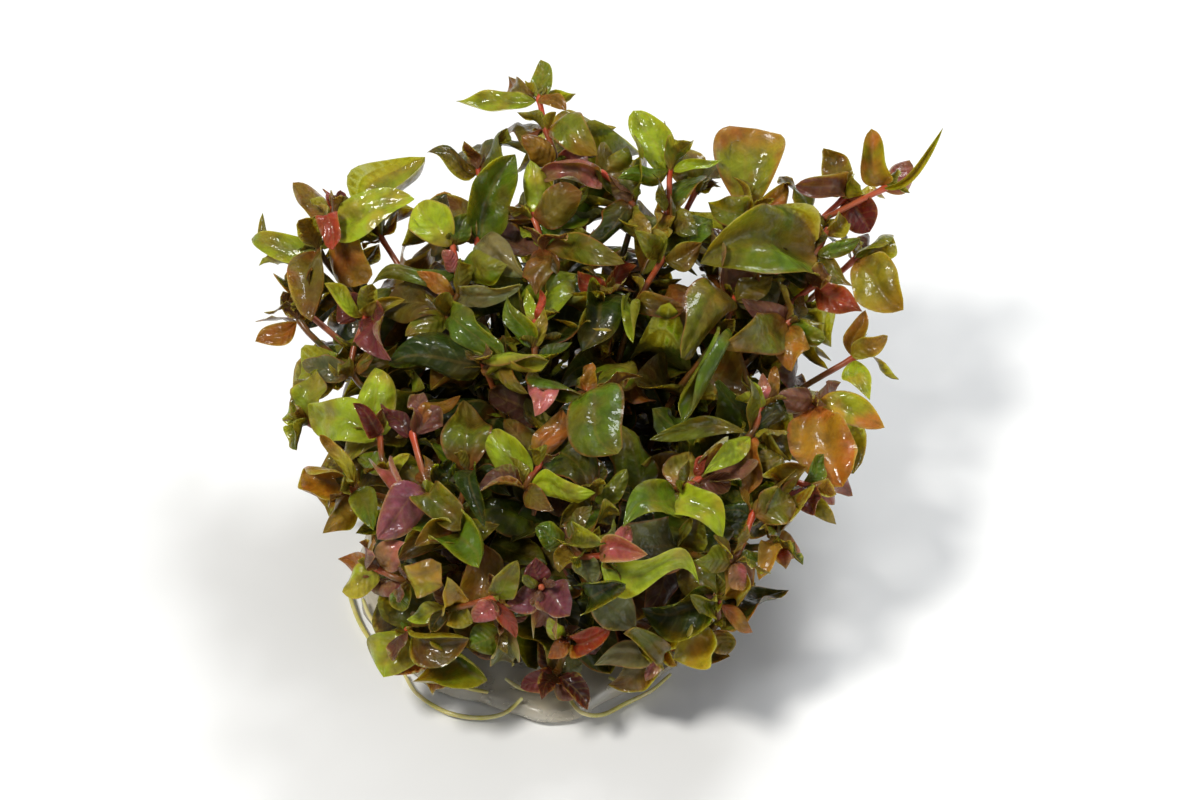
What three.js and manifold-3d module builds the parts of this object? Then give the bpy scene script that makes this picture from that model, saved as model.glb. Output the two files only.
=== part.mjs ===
// Giant red rotala, a tissue-culture clump: a thin gel pad, thin roots round its front rim,
// and a dense tuft of leafy shoots. Each shoot is one closed solid, its stem with its own leaves.
// Origin: centre of the pad's flat underside. +Z up, -Y the front. Millimetres.
import * as THREE from "three";
import Module from "manifold-3d";

const wasm = await Module();
wasm.setup();

// The photograph's point of view, which places what was read from it
const VIEW_ELEVATION = 43;
const VIEW_DISTANCE = 378;
const PAD_RIGHT = -6.93; // the pad's centre in the picture, from the picture's middle
const PAD_UP = -23.33;
const RISE = Math.sin((VIEW_ELEVATION * Math.PI) / 180);
const LEAN = Math.cos((VIEW_ELEVATION * Math.PI) / 180);
const RIGHT = new THREE.Vector3(1, 0, 0);
const UPWARD = new THREE.Vector3(0, RISE, LEAN);
const NEARER = new THREE.Vector3(0, -LEAN, RISE);
const MIDDLE = RIGHT.clone().multiplyScalar(-PAD_RIGHT).addScaledVector(UPWARD, -PAD_UP);

// Outer surface of the tuft as the photograph shows it: highest along the front rim
const RIM_NEAR = 41;
const TOP_SLOPE = 0.584;
const WALL_SLOPE = 0.93;
const SIDE_FALL = 0.008;
const RIDGE_X = 5;

// Pad
const PAD_RADIUS = 24.2;
const PAD_DRIFT = 1.1; // how far the gel reaches out more on its left than on its right
const PAD_THICKNESS = 2.4;
const PAD_POINTS = 28;
const PAD_LOBE = 2.6; // a flap of gel at the front
const PAD_LOBE_AZIMUTH = -88;
const PAD_LOBE_WIDTH = 13;
const PAD_EDGE = 0.9;

// Roots
const ROOT_RADIUS = 0.38;
const ROOT_SIDES = 4;

// Shoots
const STEM_HALF = 0.55; // half the thickness of a stem
const NODE_HALF = 0.55; // half the height of the joint that a leaf grows from
const STEM_TIP = 1.5;
const STEM_FOOT = PAD_THICKNESS + 0.45;
const FOOT_REACH = 22.2;
const FOOT_SPREAD = [0.36, 0.6];
const LOW_SPREAD = 0.3;
const LOW_HEIGHT = 28;
const STEM_RISE = 0.55;
const LEAF_SPACING = 6.8;
const FIRST_JOINT = 0.55; // how much nearer to the foot the lowest joint sits, in joint spacings
const CLEARANCE = 0.3;
const NEAR_CLEARANCE = 0.15; // between a leaf's base and other shoots
const OWN_CLEARANCE = 0.08;
const OWN_START = 1.9; // how far from its root a leaf keeps clear of its own shoot
const LEAST_SHARED = 1e-7; // a smaller shared volume doesn't count as meeting
const READ_CROSSING = 0.05; // the most that the base of a leaf shares with its own shoot
const RULED_CROSSING = 0.02;

// Leaves
const LEAF_THICKNESS = 0.5;
const NARROW_LEAF = 3.1; // narrower leaves read from the picture keep a plain outline
const READ_FOLD = 0.2;
const RULED_FOLD = 0.16;
const PLAIN_ARCH = 0.35; // how much of a plain leaf's arch its edges follow
const LEAST_DEPTH = 0.04; // the least distance between the middles of a leaf's two sides
const LEAF_LENGTH = [9, 12.5];
const SLENDERNESS = [0.48, 0.64];
const YOUNG_RAISE = 48;
const OLD_RAISE = 4;
const SECOND_SCALE = 0.82;
const MOST_TRIANGLES = 9960;

// Ways to lay a stem: its foot is turned round the pad's middle, then slid in or out
const FOOT_TURNS = [0, 0.12, -0.12, 0.25, -0.25, 0.4, -0.4];
const FOOT_SLIDES = [0, -2.5, 2.5, -5];

// Ways to lay a leaf read from the picture: moved in depth only, then shorter
const DEPTH_SHIFTS = [0, -1.5, 1.5, -3, 3, -4.5, 4.5, -6, 6, -8, 8];
const SHORTENINGS = [1, 0.86, 0.72];

// Ways to lay a leaf by rule: turned, raised or lowered, then smaller
const TURNS = [0, 18, -18, 36, -36, 54, -54];
const RAISES = [0, 22, -22];
const SIZES = [1, 0.8, 0.62];

// A leaf laid by rule stays inside the tuft: under the surface that the picture shows,
// inside its outline and above the pad
const OUTLINE = { right: 0.5, up: 1.5, halfWidth: 42, halfHeight: 39 };
const SURFACE_COVER = 1.5;
const DEEP_COVER = 4; // under the leaves that were read from the picture
const LOWEST_LEAF = PAD_THICKNESS + 1;
const WALL_REACH = 29;
const WALL_LEAN = 0.5;

// Each shoot seen in the photograph: its joints [right, up, depth], each with its leaves
// [right, up, width, tone, roll, bow, depth]. Places are read from the picture in mm from its
// middle; a depth is counted from the tuft's outer surface, towards the viewer.
const SHOOTS = [
  ["left_rosette", [
    [-37.5, 20, -4, [[-38.5, 10.5, 5, "bronze", 20, 0.1, 0], [-46.5, 21.5, 3.4, "lime", 0, 0.1, -2]]],
    [-36, 23.5, -2, [[-24.7, 26.8, 5.6, "lime", -20, 0.1, 0], [-31, 15.6, 5, "orange", 15, 0.1, 1],
      [-41, 29, 3.2, "bronze", 20, 0, -1], [-35.6, 20, 2.8, "red", 0, 0.2, 2]]],
    [-35.6, 25.6, -1, [[-34.6, 28, 1.6, "plum", 0, 0, 0], [-37, 28.2, 1.5, "red", 40, 0, -1]]]]],
  ["far_left", [
    [-40, 10.5, -4, [[-46, 7.8, 3, "orange", 0, 0.1, -1], [-40, 5, 2.8, "olive", 10, 0.1, 0],
      [-28.6, 5.1, 4.4, "olive", -10, 0.12, 0]]],
    [-41, 18.5, -6, [[-43.5, 11.5, 3.2, "silver", 0, 0.1, -2], [-45, 25, 2.6, "olive", 30, 0, -4]]]]],
  ["left_plum", [
    [-33, 3.6, -5, [[-39.8, 5, 3.2, "silver", 0, 0.1, -2], [-27, 7.5, 3, "olive", 20, 0.1, -3]]],
    [-31.3, 11, -3, [[-35, 14, 4, "plum", 0, 0.1, 0], [-27.8, 5.2, 4.4, "plum", 10, 0.1, 1],
      [-36.8, 15.6, 2.2, "lime", 30, 0, -1], [-26, 13.4, 2.2, "yellow", 0, 0.1, -1]]]]],
  ["left_cup", [
    [-20.3, 11.2, -4, [[-12.8, 6, 3.8, "green", 10, 0.12, 1], [-26, 8.5, 3, "olive", 0, 0.1, -2]]],
    [-19, 13.8, -3.5, [[-10.3, 15.4, 2.6, "silver", 0, 0.15, 1], [-12.2, 12.4, 4, "dark", 10, 0.1, -1],
      [-24.5, 17.2, 2.2, "orange", 0, 0.1, 0]]],
    [-19, 17, -3, [[-12.3, 18, 4.2, "green", 10, 0.1, 1], [-21, 20, 1.8, "pink", 0, 0, 0],
      [-30.5, 15.3, 2.4, "green", 20, 0.18, -1]]],
    [-19.6, 20.4, -2.5, [[-24.3, 26.2, 5.2, "lime", 0, 0.1, 0], [-17.4, 25, 3, "green", 20, 0, 0]]]]],
  ["top", [
    [-5.8, 31.3, -3, [[-10.5, 35.3, 3.6, "orange", 0, 0.1, -1], [-1.8, 34.3, 3.6, "pink", 10, 0, -1]]],
    [-7.2, 36, -2, [[-0.3, 32.6, 4.6, "olive", -10, 0.28, 1], [2.2, 36.4, 2.6, "yellow", 0, 0.1, -2]]],
    [-8.1, 40, -1, [[-19.2, 39.9, 3.2, "lime", 10, -0.12, 0], [-7.9, 45.4, 2.6, "green", 0, 0, -1],
      [-12.2, 43.2, 2.8, "bronze", 0, 0.1, -1], [-4.5, 38.6, 2, "orange", 0, 0.1, 1]]]]],
  ["top_red_stem", [
    [4.4, 26, -4, [[-2, 21, 3.2, "dark", 0, 0.1, -1], [6.8, 21.5, 2.6, "olive", 20, 0.1, 0]]],
    [0.4, 30.2, -2, [[-8.4, 29.6, 3.2, "pink", 0, 0.14, 0], [3.6, 34, 2.8, "olive", 0, 0.1, -3]]]]],
  ["top_left_green", [
    [-16.4, 21, -4, [[-11.3, 32.8, 5.4, "green", 10, 0.12, 0], [-9.8, 16.4, 3.8, "silver", 0, 0.14, 0],
      [-9.6, 29, 2.6, "silver", 20, 0.1, -2], [-20.5, 27.5, 3.2, "bronze", 0, 0.1, -3]]]]],
  ["top_left_lime", [
    [-7.7, 20, -4, [[-8.6, 14, 3.8, "bronze", 0, 0.1, 1], [3.3, 18.2, 3.4, "olive", 10, 0.1, 0],
      [-3.6, 24.6, 3.6, "green", 0, 0.1, -2]]],
    [-8.8, 24.2, -2.5, [[-9.3, 32, 3.4, "lime", 0, 0.08, 0], [-2.4, 27.8, 4.6, "bronze", 0, 0.1, 1],
      [1.8, 30.6, 2.8, "green", 20, 0.1, -3]]]]],
  ["top_spotted", [
    [8.8, 24.5, -4, [[5, 19.8, 3, "yellow", 0, 0.15, 0], [13, 22, 3.2, "olive", 0, 0.1, -1]]],
    [9.3, 30.6, -2, [[4.4, 38.6, 4.4, "lime", 0, 0.05, 0], [2.3, 29.6, 2.6, "green", 0, 0.1, 0],
      [16.2, 32, 1.4, "lime", 0, 0.1, 0], [11, 34.6, 1.6, "silver", 0, 0, -1]]]]],
  ["top_right_big", [
    [20, 24.6, -4, [[20.9, 36.2, 8.4, "lime", 0, 0.06, 0], [25, 28.8, 2.8, "orange", 0, 0.1, 0],
      [14.4, 26.4, 4, "green", 20, 0.1, -2]]]]],
  ["right_cup", [
    [28.7, 19.6, -4, [[13.3, 18.2, 9.4, "green", 5, 0.12, 1], [34.8, 21.6, 2, "green", 0, 0.1, 0],
      [33.6, 15.2, 3.2, "olive", 0, 0.1, 0]]],
    [30, 22.2, -2.5, [[25, 24.8, 3.2, "orange", 0, 0.1, 0], [33, 24.8, 2.8, "yellow", 0, 0.1, -1]]]]],
  ["right_bronze", [
    [32.6, 27, -3, [[29.8, 33.6, 3.8, "bronze", 0, 0.05, 0], [26, 28.6, 3.2, "mauve", 10, 0.1, 0],
      [30.6, 23.6, 3.2, "green", 0, 0.1, 1], [36, 22.4, 4.6, "plum", 10, 0.12, 1]]]]],
  ["far_right", [
    [37.9, 28.2, 3, [[36.2, 36.2, 3.4, "lime", 0, 0.1, 8], [45.8, 36.4, 2, "lime", 10, 0.08, 12],
      [41.3, 32, 3.6, "pink", 0, 0.05, 8], [33.5, 30.5, 2.6, "olive", 0, 0.1, 2]]]]],
  ["right_green", [
    [33.8, 18.6, -5, [[40.5, 12, 6.2, "green", 0, 0.12, 1], [28.6, 13.8, 3.2, "olive", 0, 0.1, 0],
      [39, 22, 3, "olive", 20, 0.1, -2]]]]],
  ["bud_shoot", [
    [-8.7, 3, -4, [[-8.7, -2.2, 3.3, "pink", 0, 0.08, 2], [-2.4, 0.6, 2.8, "green", 30, 0.12, 1]]],
    [-8.7, 7, -2.5, [[-12.3, 14, 2.6, "green", 0, 0.1, 0], [-7.4, 12.4, 1.6, "yellow", 0, 0, 0],
      [-9.9, 12.2, 1.6, "pink", 0, 0.05, 1]]],
    [-8.7, 10.4, -2, [[-9.8, 15, 1.5, "lime", 0, 0, 0], [-8, 14.8, 1.1, "red", 0, 0, 0]]]]],
  ["centre_tube", [
    [-15.4, 4.6, -3, [[-6.8, 5.2, 2.8, "lime", 20, 0.1, 1], [-28.3, 4.8, 5, "dark", 0, 0.1, -1],
      [-9.6, 0.8, 2.6, "olive", 0, 0.12, 0], [-16.5, 10.5, 3.6, "green", 0, 0.1, -1]]]]],
  ["centre_hollow", [
    [1, 6, -12, [[-5.5, 1.5, 4.6, "dark", 0, 0.1, -8], [6.5, 2.5, 4.6, "dark", 0, 0.1, -9]]],
    [1, 14.2, -6, [[2.9, 18.8, 2.2, "red", 0, 0, -3], [-3, 17.2, 2.6, "red", 0, 0.1, -3],
      [-2.4, 6.5, 5, "dark", 0, 0.12, -4], [6.5, 8.5, 4.4, "dark", 0, 0.1, -6]]]]],
  ["centre_green", [
    [-0.8, -13.6, -5, [[3.6, -9.2, 2.4, "green", 0, 0.1, -1], [-5.4, -17, 3, "bronze", 0, 0.1, -2],
      [1.8, -16.6, 3.2, "silver", 0, 0.1, -2]]],
    [-1.3, 1, -4, [[2.4, -7.2, 6.8, "green", 0, 0.12, 0], [-1, 5, 2, "orange", 0, 0, -2],
      [-6, -3, 3, "dark", 0, 0.1, -3]]]]],
  ["mid_bronze", [
    [4.6, 12.2, -5, [[11.2, 12.2, 2.8, "bronze", 0, 0.1, 1], [4.4, 7.6, 2, "lime", 0, 0.1, 1],
      [8.2, 16.4, 1.6, "lime", 0, 0, 0]]],
    [8.2, 18.6, -4, [[13.6, 21, 3.2, "bronze", 0, 0.1, 0], [4.6, 22.6, 3, "olive", 0, 0.1, -1]]]]],
  ["mid_green", [
    [16, 8.6, -5, [[11, -3, 2.6, "green", 20, 0.12, 2], [15.6, -3, 5.2, "green", 0, 0.12, 0],
      [6.4, 2.4, 4, "dark", 10, 0.1, -2]]],
    [17.8, 13.2, -4, [[10.8, 5.6, 5.4, "olive", 0, 0.12, 1], [23, 16.5, 3.2, "bronze", 0, 0.1, -1]]]]],
  ["right_olive", [
    [25, 10.2, -4, [[15.9, 7, 5.2, "olive", 0, 0.12, 2], [25.6, 3.8, 4.2, "orange", 0, 0.1, 1],
      [18.8, 13.6, 3.2, "mauve", 0, 0.12, 0], [30, 8, 3, "green", 20, 0.1, -1]]]]],
  ["right_bud", [
    [20, -4.7, -2.5, [[13.8, -9.9, 2.8, "lime", 10, 0.08, 1], [19, -13.2, 2.6, "orange", 30, 0.05, 1],
      [26.2, 2, 2.6, "dark", 0, 0.08, -2], [6.6, -5.3, 2.4, "olive", 20, 0.05, -4]]],
    [21.4, -1, -1.5, [[21.7, 3.6, 1.7, "pink", 0, 0, 0], [23.4, 4.6, 1.6, "orange", 0, 0, 0],
      [19.8, 2.6, 1.4, "lime", 0, 0, -1]]]]],
  ["mid_low", [
    [10.3, -12, -3, [[3, -17, 4.8, "green", 0, 0.14, 1], [16.4, -18.3, 4.4, "lime", 0, 0.22, 1],
      [12.2, -7, 3.8, "yellow", 0, 0.05, -2], [11.4, -20.6, 4.2, "silver", 0, 0.08, -3]]],
    [13, -10.6, -2, [[14.4, -7.4, 1.3, "red", 0, 0, 0], [17.5, -11, 2.6, "mauve", 0, 0.1, -3]]]]],
  ["right_red_leaf", [
    [28.4, 15.2, -4, [[35, 11.8, 3.8, "red", 0, 0.1, 1], [27.6, 6.3, 2.2, "lime", 0, 0.08, 2],
      [32.9, 5.2, 2.4, "olive", 20, 0.16, 0], [23.6, 17.4, 2.6, "dark", 0, 0.1, -2]]]]],
  ["right_edge", [
    [33.8, 5.6, -5, [[35.4, 12, 2.4, "orange", 0, 0.05, 0], [38.4, 8.6, 2.6, "yellow", 0, 0.1, 0],
      [36, 0, 3.2, "lime", 0, 0.1, 1], [28.4, 2.2, 3.4, "olive", 0, 0.1, 1]]]]],
  ["right_wide", [
    [28.4, -0.6, -4, [[38, -3.7, 4, "lime", 0, 0.1, 1], [23.8, 0.8, 3.2, "mauve", 0, 0.1, 0],
      [32.4, -11.6, 7.2, "orange", 0, 0.1, 1], [25, -4.6, 3, "yellow", 0, 0.1, -2]]]]],
  ["right_low_red", [
    [23, -19, -4, [[21.2, -24, 2.6, "orange", 20, 0.1, 0], [24.8, -22.6, 2.2, "pink", 0, 0.1, -1],
      [26.8, -20.6, 3, "orange", 0, 0.1, -1]]],
    [23.8, -10.7, -2.5, [[28.4, -8.6, 4.2, "bronze", 0, 0.1, -1], [21.6, -6.6, 3.6, "olive", 0, 0.1, -2]]],
    [27.2, -11.3, -1, [[33.7, -12.8, 3.4, "pink", 0, 0.12, 0], [28.6, -15.4, 3.6, "plum", 0, 0.05, 0],
      [29.9, -7.2, 2.2, "green", 20, 0.1, 0], [31.5, -16.6, 2, "yellow", 30, 0.2, -2]]]]],
  ["right_low_olive", [
    [17.4, -21.4, -2.5, [[19, -25.4, 2.2, "pink", 0, 0.05, 0], [12.4, -21.4, 3.2, "olive", 0, 0.1, -1],
      [17.7, -27.2, 2.8, "yellow", 0, 0.1, -1]]],
    [20.3, -15.5, -2, [[25.6, -13, 4.4, "olive", 0, 0.1, 0], [28.4, -17, 5.2, "orange", 0, 0.1, -1],
      [21.2, -23.2, 2.6, "green", 10, 0.05, 0], [16, -14.5, 2.6, "dark", 0, 0.1, -2]]]]],
  ["right_foot", [
    [15.2, -30.2, -3, [[9.8, -34.6, 4.8, "yellow", 0, 0.12, 1], [16.9, -34, 3, "olive", 0, 0.1, 0],
      [7.4, -31.4, 3.6, "dark", 0, 0.1, 0]]],
    [15.8, -27, -2.5, [[20.4, -31, 2, "orange", 0, 0.1, 0], [12, -26, 2.6, "olive", 0, 0.1, 0],
      [5.5, -27.8, 5, "dark", 0, 0.12, -1]]]]],
  ["left_front", [
    [-28, -9.6, -3.5, [[-25.6, -14.4, 2.4, "pink", 0, 0.15, 0], [-32.6, -7.4, 2.8, "green", 0, 0.1, -1],
      [-25.4, -7.2, 2, "lime", 0, 0.1, 0]]],
    [-29.4, -4.9, -2, [[-30, 4.3, 4.8, "lime", 10, 0.06, 0], [-39, -0.6, 5.4, "lime", 0, 0.12, 0],
      [-33, -0.4, 2.2, "plum", 0, 0.05, 1], [-34.4, -8.4, 2.4, "yellow", 0, 0.1, -1]]]]],
  ["left_red_stem", [
    [-22.5, -12, -2, [[-18.6, -17.4, 3.8, "olive", 0, 0.08, 1], [-29.7, -18.6, 4.8, "pink", 0, 0.1, 1],
      [-19.6, -8.2, 2.6, "dark", 0, 0.1, -2]]],
    [-25, -4.7, -0.5, [[-29.3, -0.4, 2.3, "plum", 0, 0.05, 1], [-23.5, 1, 4.2, "mauve", 20, 0.06, -1],
      [-18.6, 0.6, 2.2, "orange", 0, 0.1, -1]]]]],
  ["left_textured", [
    [-19.4, -17.6, -3, [[-16.2, -22.4, 5.2, "green", 0, 0.06, 1], [-24.8, -19.6, 3.2, "bronze", 0, 0.1, 0],
      [-13.4, -16.6, 3, "olive", 0, 0.1, -1]]],
    [-17.2, -9.6, -4, [[-18.2, 0, 5.6, "olive", 0, 0.08, 0], [-15.4, -17, 2.6, "dark", 0, 0.06, 0],
      [-11.8, -12.8, 2.6, "dark", 0, 0.1, -2]]]]],
  ["left_boat", [
    [-33.2, -12, -3, [[-39.9, -10, 4.4, "orange", 0, 0.14, 0], [-37.4, -4.6, 1.6, "yellow", 0, 0, -1],
      [-30.2, -17.4, 3.2, "green", 0, 0.1, -1], [-37, -17.8, 3.2, "olive", 0, 0.1, -2]]]]],
  ["front_glint", [
    [-9.8, -11.5, -3, [[-14.4, -4, 4, "lime", 0, 0.08, 1], [-0.6, -12.4, 3.2, "lime", 10, 0.1, 1],
      [-6.2, -14.8, 2.6, "bronze", 0, 0.1, 0], [-10.2, -18.6, 3, "dark", 0, 0.1, -1]]],
    [-8.2, -8.8, -2, [[-5, -1.2, 3.2, "orange", 0, 0.08, 0], [-2.6, -3.4, 4.6, "yellow", 20, 0.12, 0],
      [-12.8, -2.6, 3, "bronze", 0, 0.1, -3]]]]],
  ["front_pink", [
    [-1.6, -25.4, -4, [[4.8, -30.6, 4.6, "silver", 0, 0.1, 1], [3.4, -24.6, 3.4, "dark", 0, 0.1, -2]]],
    [-4.4, -19, -2, [[-5.4, -23, 2.6, "olive", 0, 0.1, 0], [-8.6, -17, 2.8, "green", 0, 0.1, -1]]],
    [-2.5, -20.8, -0.5, [[-1, -24.6, 2.8, "silver", 0, 0.1, 0], [-1.4, -17.4, 1.6, "lime", 0, 0, 0]]],
    [0.2, -20.8, 0.5, [[13.3, -24.8, 5.6, "lime", 10, 0.12, -1], [4, -16.8, 2.8, "pink", 0, 0.05, 1],
      [6.4, -20.6, 4.4, "lime", 0, 0.12, 3], [9, -18.6, 3, "plum", 10, 0.08, -2]]]]],
  ["low_gold", [
    [-25.6, -24, -3, [[-21.2, -21.8, 4, "yellow", 0, 0.12, 0], [-26.4, -28.2, 2.6, "green", 0, 0.1, 0],
      [-21.2, -28, 3.4, "plum", 0, 0.1, 0]]],
    [-29.4, -22.7, -2, [[-35, -21.2, 2.8, "orange", 0, 0.1, 0], [-26, -19, 3.2, "pink", 0, 0.1, 1],
      [-34.4, -25.6, 3.4, "lime", 0, 0.1, 0]]]]],
  ["low_red_stem", [
    [-20.2, -27.8, -2, [[-25.8, -29.3, 2.2, "lime", 0, 0.1, 1], [-17, -29.8, 3.2, "yellow", 0, 0.1, 0],
      [-20.4, -23.6, 3, "yellow", 0, 0.1, 0]]],
    [-14.4, -26.5, -1, [[-11, -21.4, 3, "olive", 0, 0.08, 1], [-16.9, -29.6, 2.8, "pink", 0, 0.05, 1],
      [-11.2, -31.8, 1.8, "red", 0, 0.05, 1]]]]],
  ["low_mauve", [
    [-7.8, -25, -2.5, [[-4, -28.8, 4.4, "mauve", 0, 0.1, 1], [-12.6, -27.6, 3.2, "pink", 0, 0.12, 0],
      [-7.8, -30, 3, "mauve", 0, 0.12, 1], [-8.6, -21, 3, "plum", 0, 0.1, -1]]]]],
  ["low_bronze", [
    [-22.4, -34.4, -4, [[-15, -37.4, 5.2, "green", 0, 0.1, 1], [-20.4, -38.2, 3, "mauve", 0, 0.1, -1]]],
    [-25.4, -31, -3, [[-17.4, -31.8, 4.4, "bronze", 0, 0.12, 1], [-21.2, -35.2, 3, "mauve", 0, 0.1, 0],
      [-28.9, -37, 6.2, "lime", 0, 0.06, 1], [-30.6, -28.4, 3, "bronze", 0, 0.1, 0]]]]],
  ["low_green", [
    [-13.4, -30, -3, [[-17.4, -33, 4, "green", 0, 0.14, 1], [-11, -36.2, 3.8, "silver", 0, 0.1, 0],
      [-8.6, -33.6, 4, "dark", 0, 0.1, -1]]]]],
  ["low_centre", [
    [-5.8, -36.4, -4, [[-2.6, -39.6, 3.8, "mauve", 0, 0.1, 0], [-10.6, -38.4, 2.8, "plum", 0, 0.1, 0],
      [-2.4, -35, 2.6, "silver", 0, 0.1, 0]]],
    [-4.2, -31.8, -3, [[-6.8, -29, 2, "lime", 0, 0.05, 0], [-7, -34.4, 2, "orange", 0, 0.05, 0],
      [1.4, -30.6, 2.8, "red", 0, 0.1, 0], [-0.6, -33.8, 2.8, "plum", 0, 0.1, 0]]]]],
  ["low_right", [
    [7.9, -33.4, -4, [[-0.8, -35.4, 3.2, "silver", 0, 0.12, 1], [1, -38, 4, "bronze", 0, 0.12, 0],
      [7, -38.4, 3, "lime", 0, 0.1, 0], [3.2, -31.2, 2.8, "olive", 0, 0.1, 0]]]]],
];

// Shoots that the photograph hides, by rule: [name, azimuth, reach, height] of the tip
const HIDDEN_SHOOTS = [
  ["back_1", 38, 38, 33],
  ["back_2", 60, 39, 38],
  ["back_3", 82, 37, 34],
  ["back_4", 104, 38, 39],
  ["back_5", 126, 38, 33],
  ["back_6", 150, 37, 31],
  ["back_7", 172, 31, 24],
  ["back_8", 12, 33, 23],
  ["back_9", 72, 32, 18],
  ["back_10", 116, 32, 18],
];

// Tones that leaves take where no leaf was read from the picture
const COMMON_TONES = [
  "olive", "green", "bronze", "olive", "dark", "mauve", "green", "orange", "lime", "silver",
];

const TONE_COLOURS = {
  lime: 0x8a9a20, green: 0x4f7a20, dark: 0x24300c, olive: 0x5f5f18, bronze: 0x6a4a1c, orange: 0x9a5a14,
  mauve: 0x6c4348, plum: 0x5a1a24, pink: 0xb45a68, silver: 0x6b7068, yellow: 0x9a8a24, red: 0xa8402a,
};
const PAD_COLOUR = 0xc8c4b4;
const ROOT_COLOUR = 0x9a9a40;
const SHOOT_COLOUR = 0x68701e;

// A number from 0 to 1 that depends only on the three given
function chance(a, b, c) {
  const wave = Math.sin(a * 12.9898 + b * 78.233 + c * 37.719) * 43758.5453;
  return wave - Math.floor(wave);
}

// Where a spot of the picture lies, at a given distance nearer to the viewer than the aim
function seen(right, up, near) {
  const shrink = 1 - near / VIEW_DISTANCE;
  return MIDDLE.clone()
    .addScaledVector(RIGHT, right * shrink)
    .addScaledVector(UPWARD, up * shrink)
    .addScaledVector(NEARER, near);
}

// The tuft's outer surface at a spot of the picture
function surfaceNear(right, up) {
  const height = up - PAD_UP;
  const side = right - PAD_RIGHT - RIDGE_X;
  const slope = height > 0 ? -TOP_SLOPE * height : WALL_SLOPE * height;
  return RIM_NEAR + slope - SIDE_FALL * side * side;
}

function pictureOf(point) {
  const from = point.clone().sub(MIDDLE);
  const near = from.dot(NEARER);
  const shrink = 1 - near / VIEW_DISTANCE;
  return { right: from.dot(RIGHT) / shrink, up: from.dot(UPWARD) / shrink, near };
}

function onHeight(right, up, height) {
  const risen = up * LEAN;
  return seen(right, up, (height - MIDDLE.z - risen) / (RISE - risen / VIEW_DISTANCE));
}

function solidOf(points, faces) {
  const mesh = new wasm.Mesh({
    numProp: 3,
    vertProperties: new Float32Array(points.flatMap((p) => [p.x, p.y, p.z])),
    triVerts: new Uint32Array(faces.flat()),
  });
  return new wasm.Manifold(mesh);
}

function square(direction, about) {
  return direction.clone().addScaledVector(about, -direction.dot(about)).normalize();
}

// Stem

function footOf(first, number, turn, slide) {
  const low = Math.max(0, 1 - first.z / LOW_HEIGHT);
  const spread = FOOT_SPREAD[0] + (FOOT_SPREAD[1] - FOOT_SPREAD[0]) * chance(number, 3, 8);
  const reach = Math.hypot(first.x, first.y) * (spread + LOW_SPREAD * low) + slide;
  const azimuth = Math.atan2(first.y, first.x) + turn;
  const kept = Math.min(FOOT_REACH, Math.max(1, reach));
  return new THREE.Vector3(kept * Math.cos(azimuth), kept * Math.sin(azimuth), STEM_FOOT);
}

// The joints of a stem from its foot up, each with its place and the leaves read from the picture
function jointsOf(shoot, foot) {
  const first = shoot.joints[0].place;
  const rise = foot.distanceTo(first);
  const bend = foot.clone().add(new THREE.Vector3(0, 0, STEM_RISE * rise));
  const hidden = Math.max(0, Math.floor(rise / LEAF_SPACING));
  const joints = [];
  for (let i = 1; i < hidden; i += 1) {
    const t = (i - FIRST_JOINT) / (hidden - FIRST_JOINT);
    const place = foot.clone().multiplyScalar((1 - t) ** 2);
    place.addScaledVector(bend, 2 * t * (1 - t));
    place.addScaledVector(first, t * t);
    joints.push({ place, leaves: [] });
  }
  return joints.concat(shoot.joints);
}

// Places, directions and square cross-sections of a stem, one frame a joint
function framesOf(foot, joints) {
  const places = [foot, ...joints.map((joint) => joint.place)];
  const frames = [];
  let across = null;
  for (let i = 0; i < places.length; i += 1) {
    const before = places[Math.max(0, i - 1)];
    const after = places[Math.min(places.length - 1, i + 1)];
    const along = after.clone().sub(before).normalize();
    if (i === 0) along.set(0, 0, 1);
    if (!across) across = square(new THREE.Vector3(foot.x, foot.y, 0.01).normalize(), along);
    across = square(across, along);
    frames.push({ place: places[i], along, u: across, v: along.clone().cross(across) });
  }
  return frames;
}

function cornersOf(frame, shift, half) {
  const turns = [[1, -1], [1, 1], [-1, 1], [-1, -1]];
  return turns.map(([a, b]) =>
    frame.place.clone().addScaledVector(frame.along, shift)
      .addScaledVector(frame.u, a * half).addScaledVector(frame.v, b * half));
}

// Rings of corners up the stem: one at the foot, two at each joint, then the tip
function ringsOf(frames) {
  const rings = [cornersOf(frames[0], 0, STEM_HALF)];
  frames.slice(1).forEach((frame) => {
    rings.push(cornersOf(frame, -NODE_HALF, STEM_HALF));
    rings.push(cornersOf(frame, NODE_HALF, STEM_HALF));
  });
  return rings;
}

// A stem's points and faces; faces that a leaf grows from are left open
function stemShell(frames, leaves) {
  const rings = ringsOf(frames);
  const last = frames[frames.length - 1];
  const points = rings.flat();
  const faces = [[0, 2, 1], [0, 3, 2]];
  const grown = new Set(leaves.map((leaf) => leaf.joint * 4 + leaf.side));
  for (let r = 0; r + 1 < rings.length; r += 1) {
    for (let k = 0; k < 4; k += 1) {
      if (r % 2 === 1 && grown.has(((r - 1) / 2) * 4 + k)) continue;
      const low = r * 4 + k;
      const lowNext = r * 4 + ((k + 1) % 4);
      faces.push([low, lowNext, lowNext + 4], [low, lowNext + 4, low + 4]);
    }
  }
  const top = (rings.length - 1) * 4;
  points.push(last.place.clone().addScaledVector(last.along, STEM_TIP));
  for (let k = 0; k < 4; k += 1) faces.push([top + k, top + ((k + 1) % 4), points.length - 1]);
  return { points, faces };
}

// Leaf

function faceNormal(frame, side) {
  const axis = side % 2 === 0 ? frame.u : frame.v;
  return axis.clone().multiplyScalar(side < 2 ? 1 : -1);
}

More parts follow.
